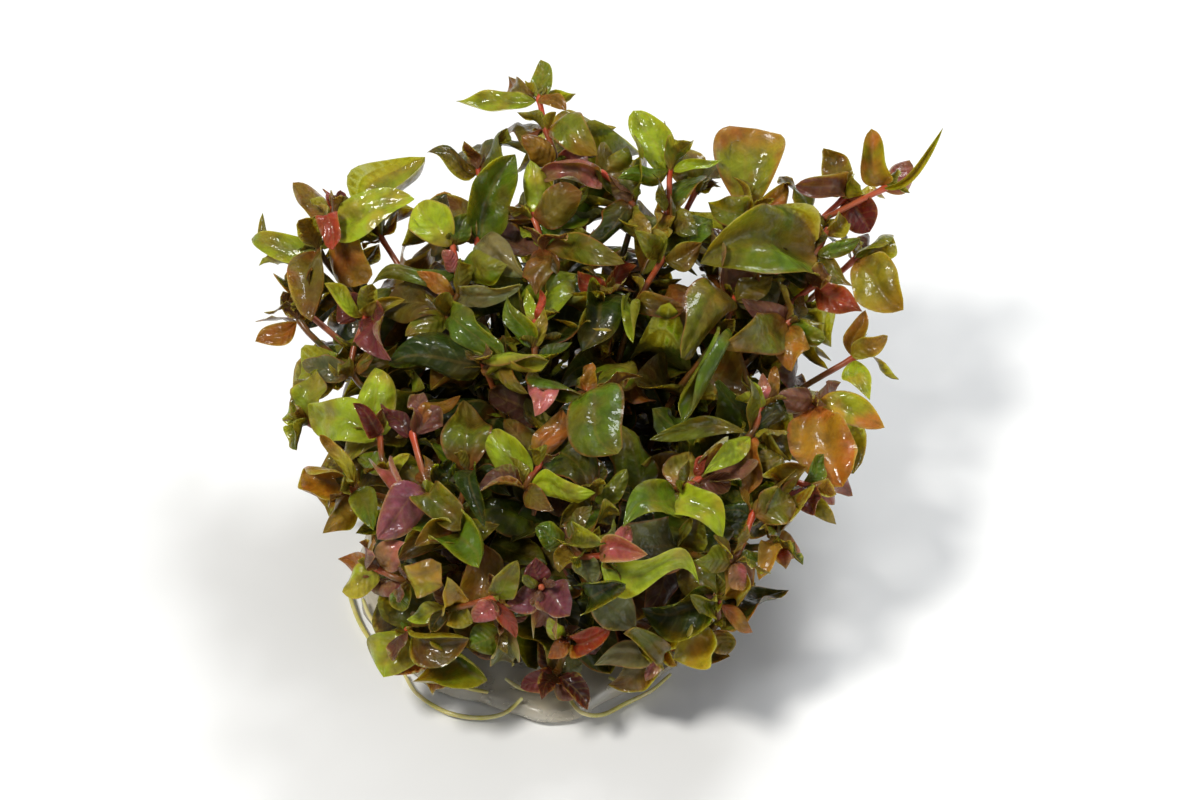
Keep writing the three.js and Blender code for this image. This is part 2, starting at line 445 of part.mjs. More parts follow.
// How a leaf lies: its root, the way to its tip, its upper side and its right-hand side
function leafPose(frame, side, tip, facing, roll) {
  const root = frame.place.clone().addScaledVector(faceNormal(frame, side), STEM_HALF);
  const way = tip.clone().sub(root);
  const length = way.length();
  const along = way.normalize();
  let upper = square(facing, along);
  if (Math.abs(facing.dot(along)) > 0.97) upper = square(UPWARD, along);
  upper = upper.applyAxisAngle(along, (roll * Math.PI) / 180);
  return { root, tip, length, along, upper, right: upper.clone().cross(along) };
}

// A point of a leaf: share of its length, share of its half width, height over its blade
function leafPoint(leaf, share, sideways, lift) {
  const arch = 4 * leaf.bow * leaf.length * share * (1 - share) * (leaf.plain ? PLAIN_ARCH : 1);
  const edge = Math.abs(sideways) * leaf.fold * leaf.width * 0.5;
  return leaf.pose.root.clone()
    .addScaledVector(leaf.pose.along, share * leaf.length)
    .addScaledVector(leaf.pose.upper, arch + edge + lift)
    .addScaledVector(leaf.pose.right, (sideways * leaf.width) / 2);
}

// Corners of the joint's face in the order: lower left, lower right, upper right, upper left
function orderedCorners(corners, leaf) {
  const { root, right, upper } = leaf.pose;
  const ideal = [[-1, -1], [1, -1], [1, 1], [-1, 1]];
  let best = 0;
  let bestScore = -Infinity;
  for (let shift = 0; shift < 4; shift += 1) {
    let score = 0;
    ideal.forEach(([a, b], i) => {
      const arm = corners[(i + shift) % 4].clone().sub(root);
      score += a * arm.dot(right) + b * arm.dot(upper);
    });
    if (score > bestScore) {
      best = shift;
      bestScore = score;
    }
  }
  return ideal.map((_, i) => (i + best) % 4);
}

// A leaf's points past its four root corners, and its faces, which take the corners as 0 to 3
function leafShell(leaf, spare) {
  const wide = 1 + (2 * spare) / leaf.width;
  const lift = LEAF_THICKNESS / 2 + spare;
  const tip = leafPoint(leaf, 1, 0, 0).addScaledVector(leaf.pose.along, spare);
  if (leaf.plain) {
    const points = [leafPoint(leaf, 0.42, -wide, 0), leafPoint(leaf, 0.42, wide, 0), tip];
    const upper = [[3, 4, 6], [3, 6, 2], [2, 6, 5]];
    const lower = [[0, 6, 4], [0, 1, 6], [1, 5, 6]];
    return { points, upper, lower, sides: [[4, 3, 0], [2, 5, 1]] };
  }
  const points = [
    leafPoint(leaf, 0.27, -0.96 * wide, 0),
    leafPoint(leaf, 0.64, -0.8 * wide, 0),
    tip,
    leafPoint(leaf, 0.64, 0.8 * wide, 0),
    leafPoint(leaf, 0.27, 0.96 * wide, 0),
    leafPoint(leaf, 0.5, 0, lift),
    leafPoint(leaf, 0.5, 0, -lift),
  ];
  const upper = [[3, 4, 9], [3, 9, 2], [2, 9, 8], [4, 5, 9], [5, 6, 9], [9, 6, 7], [9, 7, 8]];
  const lower = [[0, 10, 4], [0, 1, 10], [1, 8, 10], [4, 10, 5], [5, 10, 6], [10, 7, 6], [10, 8, 7]];
  return { points, upper, lower, sides: [[4, 3, 0], [2, 8, 1]] };
}

// A leaf as it grows from the four corners of its joint's face
function bladeOf(leaf, corners) {
  const order = orderedCorners(corners, leaf);
  const shell = leafShell(leaf, 0);
  return { ...shell, order, points: order.map((i) => corners[i]).concat(shell.points) };
}

// Whether each part of a leaf's upper side lies over the same part of its lower side
function isSound(blade) {
  return blade.upper.every((face, i) => {
    const [a, b, c] = face.map((k) => blade.points[k]);
    const [d, e, f] = blade.lower[i].map((k) => blade.points[k]);
    const normal = b.clone().sub(a).cross(c.clone().sub(a)).normalize();
    const below = a.clone().add(b).add(c).sub(d).sub(e).sub(f).multiplyScalar(1 / 3);
    return normal.dot(below) > LEAST_DEPTH;
  });
}

function bladeSolid(blade) {
  return solidOf(blade.points, [...blade.upper, ...blade.lower, ...blade.sides, [0, 3, 2], [0, 2, 1]]);
}

// The leaf by itself, thickened by the spare room, from a short way off its stem
function leafSolid(leaf, spare, start) {
  const half = STEM_HALF + spare;
  const corners = [[-1, -1], [1, -1], [1, 1], [-1, 1]].map(([a, b]) =>
    leaf.pose.root.clone().addScaledVector(leaf.pose.along, start)
      .addScaledVector(leaf.pose.right, a * half).addScaledVector(leaf.pose.upper, b * half));
  const { points, upper, lower, sides } = leafShell(leaf, spare);
  return solidOf(corners.concat(points), [...upper, ...lower, ...sides, [0, 3, 2], [0, 2, 1]]);
}

// What has been placed so far
const placed = [];

function boxOf(solid) {
  const box = solid.boundingBox();
  return { min: Array.from(box.min), max: Array.from(box.max) };
}

function place(owner, solid) {
  placed.push({ owner, solid, box: boxOf(solid) });
}

function meets(solid, box, other, least) {
  for (let i = 0; i < 3; i += 1) {
    if (box.min[i] > other.box.max[i] || box.max[i] < other.box.min[i]) return false;
  }
  const common = solid.intersect(other.solid);
  const volume = common.volume();
  common.delete();
  return volume > least;
}

function isFree(solid, chosen, least = LEAST_SHARED) {
  const box = boxOf(solid);
  return !placed.some((other) => chosen(other) && meets(solid, box, other, least));
}

function leafIsFree(owner, leaf, blade) {
  for (const [spare, start] of [[CLEARANCE, 0.9], [NEAR_CLEARANCE, -0.4]]) {
    const wide = leafSolid(leaf, spare, start);
    const free = isFree(wide, (other) => other.owner !== owner);
    wide.delete();
    if (!free) return false;
  }
  const own = (other) => other.owner === owner;
  const slim = leafSolid(leaf, OWN_CLEARANCE, OWN_START);
  const clear = isFree(slim, own);
  slim.delete();
  return clear && isFree(blade, own, leaf.crossing);
}

function readLeafWays(frame, side, row) {
  const [right, up, width, tone, roll, bow, depth] = row;
  const ways = [];
  for (const share of SHORTENINGS) {
    for (const shift of DEPTH_SHIFTS) {
      const far = seen(right, up, surfaceNear(right, up) + depth + shift);
      const tip = frame.place.clone().lerp(far, share);
      const pose = leafPose(frame, side, tip, NEARER, roll);
      const plain = width < NARROW_LEAF;
      const size = { length: pose.length, width: width * share, bow };
      ways.push({ pose, ...size, fold: READ_FOLD, crossing: READ_CROSSING, tone, plain });
    }
  }
  return ways;
}

function ruledLeafWays(shootNumber, joint, count, frame, side, scale) {
  const age = 1 - joint / count;
  const pick = (channel) => chance(shootNumber + 1, joint * 4 + side + 1, channel);
  const length = scale * (LEAF_LENGTH[0] + (LEAF_LENGTH[1] - LEAF_LENGTH[0]) * pick(1));
  const slender = SLENDERNESS[0] + (SLENDERNESS[1] - SLENDERNESS[0]) * pick(2);
  const raise = YOUNG_RAISE + (OLD_RAISE - YOUNG_RAISE) * age + 30 * (pick(3) - 0.5);
  const turn = 40 * (pick(4) - 0.5);
  const normal = faceNormal(frame, side);
  const sideways = frame.along.clone().cross(normal);
  const facing = frame.along.clone().multiplyScalar(0.6).add(new THREE.Vector3(0, 0, 0.6)).normalize();
  const ways = [];
  for (const size of SIZES) {
    for (const lifted of RAISES) {
      for (const turned of TURNS) {
        const swing = ((turn + turned) * Math.PI) / 180;
        const climb = ((raise + lifted) * Math.PI) / 180;
        const away = normal.clone().multiplyScalar(Math.cos(swing))
          .addScaledVector(sideways, Math.sin(swing));
        const aim = away.multiplyScalar(Math.cos(climb)).addScaledVector(frame.along, Math.sin(climb));
        const tip = frame.place.clone().addScaledVector(aim, length * size);
        const pose = leafPose(frame, side, tip, facing, 50 * (pick(5) - 0.5));
        const tone = COMMON_TONES[Math.floor(pick(6) * COMMON_TONES.length)];
        const bow = 0.04 + 0.16 * pick(7);
        const shape = { length: pose.length, width: length * size * slender, bow };
        ways.push({ pose, ...shape, fold: RULED_FOLD, crossing: RULED_CROSSING, tone, plain: true });
      }
    }
  }
  return ways;
}

function staysInside(leaf, cover) {
  const tip = leaf.pose.tip;
  const spot = pictureOf(tip);
  const across = (spot.right - OUTLINE.right) / OUTLINE.halfWidth;
  const upward = (spot.up - OUTLINE.up) / OUTLINE.halfHeight;
  if (tip.z < LOWEST_LEAF) return false;
  if (Math.hypot(tip.x, tip.y) > WALL_REACH + WALL_LEAN * tip.z) return false;
  if (across * across + upward * upward > 1) return false;
  return spot.near < surfaceNear(spot.right, spot.up) - cover;
}

// Pad

function padReach(azimuth) {
  const off = ((azimuth - PAD_LOBE_AZIMUTH + 540) % 360) - 180;
  const a = (azimuth * Math.PI) / 180;
  const lobe = PAD_LOBE * Math.exp(-((off / PAD_LOBE_WIDTH) ** 2));
  return PAD_RADIUS - PAD_DRIFT * Math.cos(a) + 0.3 * Math.sin(5 * a) + lobe;
}

function padShell() {
  const layers = [[0, -PAD_EDGE], [PAD_THICKNESS * 0.35, 0], [PAD_THICKNESS, -PAD_EDGE]];
  const points = [new THREE.Vector3(0, 0, 0)];
  const faces = [];
  layers.forEach(([height, inset]) => {
    for (let i = 0; i < PAD_POINTS; i += 1) {
      const azimuth = (360 * i) / PAD_POINTS;
      const reach = padReach(azimuth) + inset;
      const a = (azimuth * Math.PI) / 180;
      points.push(new THREE.Vector3(reach * Math.cos(a), reach * Math.sin(a), height));
    }
  });
  points.push(new THREE.Vector3(0, 0, PAD_THICKNESS));
  for (let i = 0; i < PAD_POINTS; i += 1) {
    const next = (i + 1) % PAD_POINTS;
    const top = 1 + 2 * PAD_POINTS;
    faces.push([0, 1 + next, 1 + i], [points.length - 1, top + i, top + next]);
    for (let layer = 0; layer < 2; layer += 1) {
      const low = 1 + layer * PAD_POINTS;
      const high = low + PAD_POINTS;
      faces.push([low + i, low + next, high + next], [low + i, high + next, high + i]);
    }
  }
  return { points, faces };
}

// Roots, along points read from the picture: [right, up, height over the ground]
const ROOTS = [
  ["left_outer", [
    [-33.6, -24.4, 1.4], [-33.4, -26, 0.9], [-32.2, -29.4, 0.6],
    [-30.4, -32.4, 0.6], [-28.6, -34.6, 0.8],
  ]],
  ["left_inner", [[-31.6, -26.6, 3.4], [-30.6, -29, 3.3], [-28.4, -31.6, 3.3], [-26.4, -33.2, 3.3]]],
  ["front_loop", [
    [-26.2, -36.4, 1], [-24.4, -39.2, 0.6], [-20.6, -41.6, 0.6],
    [-16.4, -42.4, 0.7], [-12.8, -41.8, 1.6], [-10.4, -39.8, 3.3],
  ]],
  ["front_inner", [[-24, -34.4, 3.3], [-21.6, -36.6, 3.3], [-18.4, -38.2, 3.3], [-15, -39, 3.3]]],
  ["front_cross", [[-12.6, -37.2, 3.3], [-10.6, -38.4, 3.3], [-8.2, -38.6, 3.3], [-5, -37.6, 3.3]]],
  ["right_loop", [
    [-4.4, -39.4, 3.3], [-2.6, -41.6, 3.2], [0.2, -42, 1.2],
    [3.6, -40.4, 0.6], [6.8, -38.8, 0.6], [9.4, -36.6, 0.8],
  ]],
  ["right_inner", [[1.2, -37, 3.3], [3.6, -38, 3.3], [6.2, -37.4, 3.3], [7.6, -35.6, 3.3]]],
];

function rootShell(row) {
  const path = new THREE.CatmullRomCurve3(row.map(([right, up, height]) => onHeight(right, up, height)));
  const stations = path.getPoints(2 * (row.length - 1));
  const points = [];
  const faces = [];
  stations.forEach((station, i) => {
    const before = stations[Math.max(0, i - 1)];
    const after = stations[Math.min(stations.length - 1, i + 1)];
    const along = after.clone().sub(before).normalize();
    const sideways = square(new THREE.Vector3(-along.y, along.x, 0), along);
    const upward = sideways.clone().cross(along).negate();
    for (let k = 0; k < ROOT_SIDES; k += 1) {
      const a = (2 * Math.PI * k) / ROOT_SIDES;
      points.push(station.clone().addScaledVector(sideways, ROOT_RADIUS * Math.cos(a))
        .addScaledVector(upward, ROOT_RADIUS * Math.sin(a)));
    }
  });
  for (let i = 0; i + 1 < stations.length; i += 1) {
    for (let k = 0; k < ROOT_SIDES; k += 1) {
      const a = i * ROOT_SIDES + k;
      const b = i * ROOT_SIDES + ((k + 1) % ROOT_SIDES);
      faces.push([a, b, b + ROOT_SIDES], [a, b + ROOT_SIDES, a + ROOT_SIDES]);
    }
  }
  const end = (stations.length - 1) * ROOT_SIDES;
  faces.push([0, 2, 1], [0, 3, 2], [end, end + 1, end + 2], [end, end + 2, end + 3]);
  return { points, faces };
}

// Assembly

const group = new THREE.Group();

function addNode(name, shell, colour, roughness) {
  const geometry = new THREE.BufferGeometry();
  const flat = new Float32Array(shell.points.flatMap((p) => [p.x, p.y, p.z]));
  geometry.setAttribute("position", new THREE.BufferAttribute(flat, 3));
  geometry.setIndex(shell.faces.flat());
  geometry.computeVertexNormals();
  const material = new THREE.MeshStandardMaterial({ color: colour, roughness, metalness: 0 });
  const mesh = new THREE.Mesh(geometry, material);
  mesh.name = name;
  group.add(mesh);
}

const pad = padShell();
place("pad", solidOf(pad.points, pad.faces));
addNode("gel_pad", pad, PAD_COLOUR, 0.3);

let rootTriangles = 0;
ROOTS.forEach(([name, row]) => {
  const root = rootShell(row);
  rootTriangles += root.faces.length;
  place(name, solidOf(root.points, root.faces));
  addNode("root_" + name, root, ROOT_COLOUR, 0.4);
});

function readShoot([name, joints]) {
  return {
    name,
    joints: joints.map(([right, up, depth, leaves]) => ({
      place: seen(right, up, surfaceNear(right, up) + depth),
      leaves,
    })),
  };
}

function hiddenShoot([name, azimuth, reach, height]) {
  const a = (azimuth * Math.PI) / 180;
  const top = new THREE.Vector3(reach * Math.cos(a), reach * Math.sin(a), height);
  return { name, joints: [{ place: top, leaves: [] }] };
}

const shoots = SHOOTS.map(readShoot).concat(HIDDEN_SHOOTS.map(hiddenShoot));

function standStem(shoot, number) {
  for (const slide of FOOT_SLIDES) {
    for (const turn of FOOT_TURNS) {
      const foot = footOf(shoot.joints[0].place, number, turn, slide);
      const joints = jointsOf(shoot, foot);
      const frames = framesOf(foot, joints);
      const shell = stemShell(frames, []);
      const stem = solidOf(shell.points, shell.faces);
      if (isFree(stem, () => true)) return { joints, frames, stem };
    }
  }
  throw new Error("no room for the stem of " + shoot.name);
}

// Stems first, so that leaves keep clear of all of them
shoots.forEach((shoot, number) => {
  Object.assign(shoot, standStem(shoot, number));
  shoot.leaves = [];
  place(shoot.name, shoot.stem);
});

// The corners of a joint's face that a leaf grows from
function faceCorners(frame, side) {
  const low = cornersOf(frame, -NODE_HALF, STEM_HALF);
  const high = cornersOf(frame, NODE_HALF, STEM_HALF);
  const next = (side + 1) % 4;
  return [low[side], low[next], high[next], high[side]];
}

function firstFree(shoot, joint, side, ways, allowed) {
  const corners = faceCorners(shoot.frames[joint + 1], side);
  for (const leaf of ways) {
    const shell = bladeOf(leaf, corners);
    if (!allowed(leaf) || !isSound(shell)) continue;
    const blade = bladeSolid(shell);
    if (leafIsFree(shoot.name, leaf, blade)) {
      place(shoot.name, blade);
      shoot.leaves.push({ ...leaf, joint, side });
      return true;
    }
    blade.delete();
  }
  return false;
}

// Each leaf read from the picture grows from the free side of its joint that faces it best
function sideFor(frame, row, taken) {
  const [right, up, , , , , depth] = row;
  const way = seen(right, up, surfaceNear(right, up) + depth).sub(frame.place).normalize();
  let best = -1;
  let bestScore = -Infinity;
  for (let side = 0; side < 4; side += 1) {
    const score = way.dot(faceNormal(frame, side));
    if (!taken.has(side) && score > bestScore) {
      best = side;
      bestScore = score;
    }
  }
  return best;
}

shoots.forEach((shoot) => {
  shoot.joints.forEach((joint, j) => {
    const frame = shoot.frames[j + 1];
    const taken = new Set();
    joint.leaves.forEach((row) => {
      const side = sideFor(frame, row, taken);
      taken.add(side);
      firstFree(shoot, j, side, readLeafWays(frame, side, row), () => true);
    });
  });
});

function trianglesOf(shoot) {
  const blades = shoot.leaves.reduce((sum, leaf) => sum + (leaf.plain ? 6 : 14), 0);
  return 8 * (2 * shoot.joints.length) + 6 + blades;
}

let room = MOST_TRIANGLES - pad.faces.length - rootTriangles;
shoots.forEach((shoot) => {
  room -= trianglesOf(shoot);
});

function growByRule(shoot, number, j, sides, scale, cover) {
  const count = shoot.joints.length;
  sides.forEach((side) => {
    if (room < 6 || shoot.leaves.some((leaf) => leaf.joint === j && leaf.side === side)) return;
    const ways = ruledLeafWays(number, j, count, shoot.frames[j + 1], side, scale);
    if (firstFree(shoot, j, side, ways, (leaf) => staysInside(leaf, cover))) room -= 6;
  });
}

// Goes up all stems together, over the joints that were read or over the hidden ones
function eachJoint(read, grow) {
  const most = Math.max(...shoots.map((shoot) => shoot.joints.length));
  for (let j = 0; j < most; j += 1) {
    shoots.forEach((shoot, number) => {
      const joint = shoot.joints[j];
      if (joint && (joint.leaves.length > 0) === read) grow(shoot, number, j);
    });
  }
}

// Leaves by rule: a pair at every hidden joint, the next pair a quarter turn on; then leaves
// on the free sides of the joints that were read; then smaller pairs between the first
eachJoint(false, (shoot, number, j) => {
  growByRule(shoot, number, j, [j % 2, (j % 2) + 2], 1, SURFACE_COVER);
});
eachJoint(true, (shoot, number, j) => growByRule(shoot, number, j, [0, 1, 2, 3], 1, DEEP_COVER));
eachJoint(false, (shoot, number, j) => {
  growByRule(shoot, number, j, [1 - (j % 2), 3 - (j % 2)], SECOND_SCALE, SURFACE_COVER);
});

shoots.forEach((shoot) => {
  const shell = stemShell(shoot.frames, shoot.leaves);
  shoot.leaves.forEach((leaf) => {
    const ring = (1 + 2 * leaf.joint) * 4;
    const next = (leaf.side + 1) % 4;
    const corners = [ring + leaf.side, ring + next, ring + 4 + next, ring + 4 + leaf.side];
    const { points, upper, lower, sides, order } = bladeOf(leaf, corners.map((i) => shell.points[i]));
    const start = shell.points.length;
    shell.points.push(...points.slice(4));
    [...upper, ...lower, ...sides].forEach((face) => {
      shell.faces.push(face.map((i) => (i < 4 ? corners[order[i]] : start + i - 4)));
    });
  });
  addNode("shoot_" + shoot.name, shell, SHOOT_COLOUR, 0.35);
});

export default group;
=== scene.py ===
import math
from itertools import product

import bpy
import numpy as np
from mathutils import Matrix, Vector
from mathutils.bvhtree import BVHTree
from mathutils.kdtree import KDTree


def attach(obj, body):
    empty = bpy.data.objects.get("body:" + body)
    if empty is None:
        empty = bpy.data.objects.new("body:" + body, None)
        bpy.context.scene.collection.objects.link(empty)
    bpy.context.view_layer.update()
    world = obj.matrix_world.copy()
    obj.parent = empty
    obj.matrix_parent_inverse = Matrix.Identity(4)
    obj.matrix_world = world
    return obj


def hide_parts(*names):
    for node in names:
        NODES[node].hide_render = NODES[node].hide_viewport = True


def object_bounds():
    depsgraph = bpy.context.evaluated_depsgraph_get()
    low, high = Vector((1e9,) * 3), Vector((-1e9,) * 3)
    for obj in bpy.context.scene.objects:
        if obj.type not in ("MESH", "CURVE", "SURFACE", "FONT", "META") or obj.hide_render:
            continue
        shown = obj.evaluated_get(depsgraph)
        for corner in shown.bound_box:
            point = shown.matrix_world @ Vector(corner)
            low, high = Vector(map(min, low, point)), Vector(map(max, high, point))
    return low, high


# Giant red rotala, a tissue-culture clump, on its gel pad. Lengths in this script are
# millimetres, as in the solids, and become metres where meshes, lights and camera are made.
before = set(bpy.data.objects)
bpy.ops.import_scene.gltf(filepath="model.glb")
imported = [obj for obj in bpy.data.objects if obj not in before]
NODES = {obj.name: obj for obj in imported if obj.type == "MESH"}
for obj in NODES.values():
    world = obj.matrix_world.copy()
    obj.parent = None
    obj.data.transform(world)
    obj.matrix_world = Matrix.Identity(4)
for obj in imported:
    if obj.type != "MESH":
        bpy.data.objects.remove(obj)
MM = 0.001
box_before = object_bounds()

# The photograph's point of view, which places what was read from it
VIEW_ELEVATION = 43
VIEW_DISTANCE = 378
PAD_RIGHT = -6.93
PAD_UP = -23.33
RISE = math.sin(math.radians(VIEW_ELEVATION))
LEAN = math.cos(math.radians(VIEW_ELEVATION))
RIGHT = np.array([1.0, 0.0, 0.0])
UPWARD = np.array([0.0, RISE, LEAN])
NEARER = np.array([0.0, -LEAN, RISE])
MIDDLE = RIGHT * -PAD_RIGHT + UPWARD * -PAD_UP
LENS = 85
SENSOR = 36
NEAREST_SEEN = 20

# Lights: [name, place, size, watts, tint]
LIGHTS = [
  ["key", (-240, -160, 480), 120, 2.4, (1.0, 0.98, 0.94)],
  ["back", (180, 320, 440), 180, 1.9, (0.96, 0.98, 1.0)],
  ["fill", (380, -260, 220), 300, 0.5, (1, 1, 1)],
]
LIGHTS_AIM = (0, 0, 20)
SKY = (0.9, 0.93, 1, 1)
SKY_STRENGTH = 0.28
FLOOR_REACH = 4000
FLOOR_DROP = 0.2

# Outer surface of the tuft as the photograph shows it
RIM_NEAR = 41
TOP_SLOPE = 0.584
WALL_SLOPE = 0.93
SIDE_FALL = 0.008
RIDGE_X = 5

# Pad and roots
PAD_RADIUS = 24.2
PAD_DRIFT = 1.1
PAD_THICKNESS = 2.4
PAD_LOBE = 2.6
PAD_LOBE_AZIMUTH = -88
PAD_LOBE_WIDTH = 13
PAD_EDGE = 0.9
PAD_CORNERS = 160
ROOT_RADIUS = 0.36
ROOT_STEPS = 7
TUBE_SIDES = 8

# Shoots
STEM_HALF = 0.55
STEM_TIP = 1.5
STEM_FOOT = PAD_THICKNESS + 0.45
FOOT_REACH = 22.2
FOOT_SPREAD = [0.36, 0.6]
LOW_SPREAD = 0.3
LOW_HEIGHT = 28
STEM_RISE = 0.55
LEAF_SPACING = 6.8
FIRST_JOINT = 0.55

# Leaves laid by rule
LEAF_LENGTH = [9, 12.5]
SLENDERNESS = [0.48, 0.64]
YOUNG_RAISE = 48
OLD_RAISE = 4
RAISE_SPREAD = 30
TURN_SPREAD = 40
ROLL_SPREAD = 50
BOW = [0.04, 0.2]
STEEP = 0.97  # a leaf this far along its facing takes its upper side from the picture's up
SECOND_SCALE = 0.82

# Ways to lay a stem or a leaf, in the order in which the solids try them
FOOT_TURNS = [0, 0.12, -0.12, 0.25, -0.25, 0.4, -0.4]
FOOT_SLIDES = [0, -2.5, 2.5, -5]
DEPTH_SHIFTS = [0, -1.5, 1.5, -3, 3, -4.5, 4.5, -6, 6, -8, 8]
SHORTENINGS = [1, 0.86, 0.72]
TURNS = [0, 18, -18, 36, -36, 54, -54]
RAISES = [0, 22, -22]
SIZES = [1, 0.8, 0.62]

# Blades, finer than in the solids
FINE_GRID = [19, 13]
PLAIN_GRID = [14, 9]
THICKNESS = 0.24
FULLNESS = 1.12
LEAST_SPREAD = 0.42  # how much of its width a curled blade still spans
LEAST_CURL = 0.01
LEAST_ROUND = 0.42
BLUNT = 0.012  # how far along its outline a blade starts, so that it has some width there
MIDRIB_DEPTH = 0.06
MIDRIB_WIDTH = 0.15
TWIST_START = 0.2
AXIL_SHARE = 0.25  # share of a blade by the stem that others may pass through
LIGHT = [0.8, 1.3]  # how much darker or lighter than its tone a leaf is
OLD_AND_DEEP_PAINTED_SHADE = 0.74  # how much darker the oldest, lowest leaves are: partly their own older colour, partly painted shade deep inside the tuft
HOLLOW_PAINTED_SHADE = 0.6  # painted shade: the share of their brightness that leaves round the dark middle keep
HOLLOW_SHOOTS = ["centre_hollow", "centre_green", "centre_tube", "mid_green", "bud_shoot"]
MARKS = 40  # how many numbers each shoot has for its leaves

# Stems, finer than in the solids
STEM_RADIUS = 0.46
STEM_STEPS = 5
STEM_TAPER = 0.3
JOINT_SWELL = 1.25

# Young leaves, too small for the solids. Angles are radians.
YOUNG_GRID = [8, 5]
YOUNG_THICKNESS = 0.18
YOUNG_COUNT = 4
YOUNG_ROOT = 0.8  # how far out of the stem's middle they start, in halves of its thickness
YOUNG_TURN = 0.8
YOUNG_LIFT = [0.1, 0.9]
YOUNG_SHIFT = [-0.3, 0.7]
YOUNG_BOW = 0.1
YOUNG_LENGTH = [3.5, 7]
DEEP_LENGTH = [5, 8.5]
YOUNG_SLENDERNESS = 0.42
ROOT_SHARE = 0.1  # share of a young leaf that may pass through others
YOUNG_TRIES = 4  # sizes that it is tried at, until the rest of it passes through none
SMALLER = 0.75
HIGHEST = box_before[1][2] / MM + 0.8  # young leaves rise no further past the solids
LOW_TONES = ["mauve", "bronze", "plum", "olive", "orange", "dark", "bronze", "pink"]
YOUNG_TONES = ["olive", "bronze", "mauve", "orange", "green", "lime", "yellow", "olive"]
DEEP_TONES = ["dark", "olive", "green", "bronze", "olive", "dark"]

SAME_SPOT = 0.03  # how near to a solid's corner a point counts as that corner

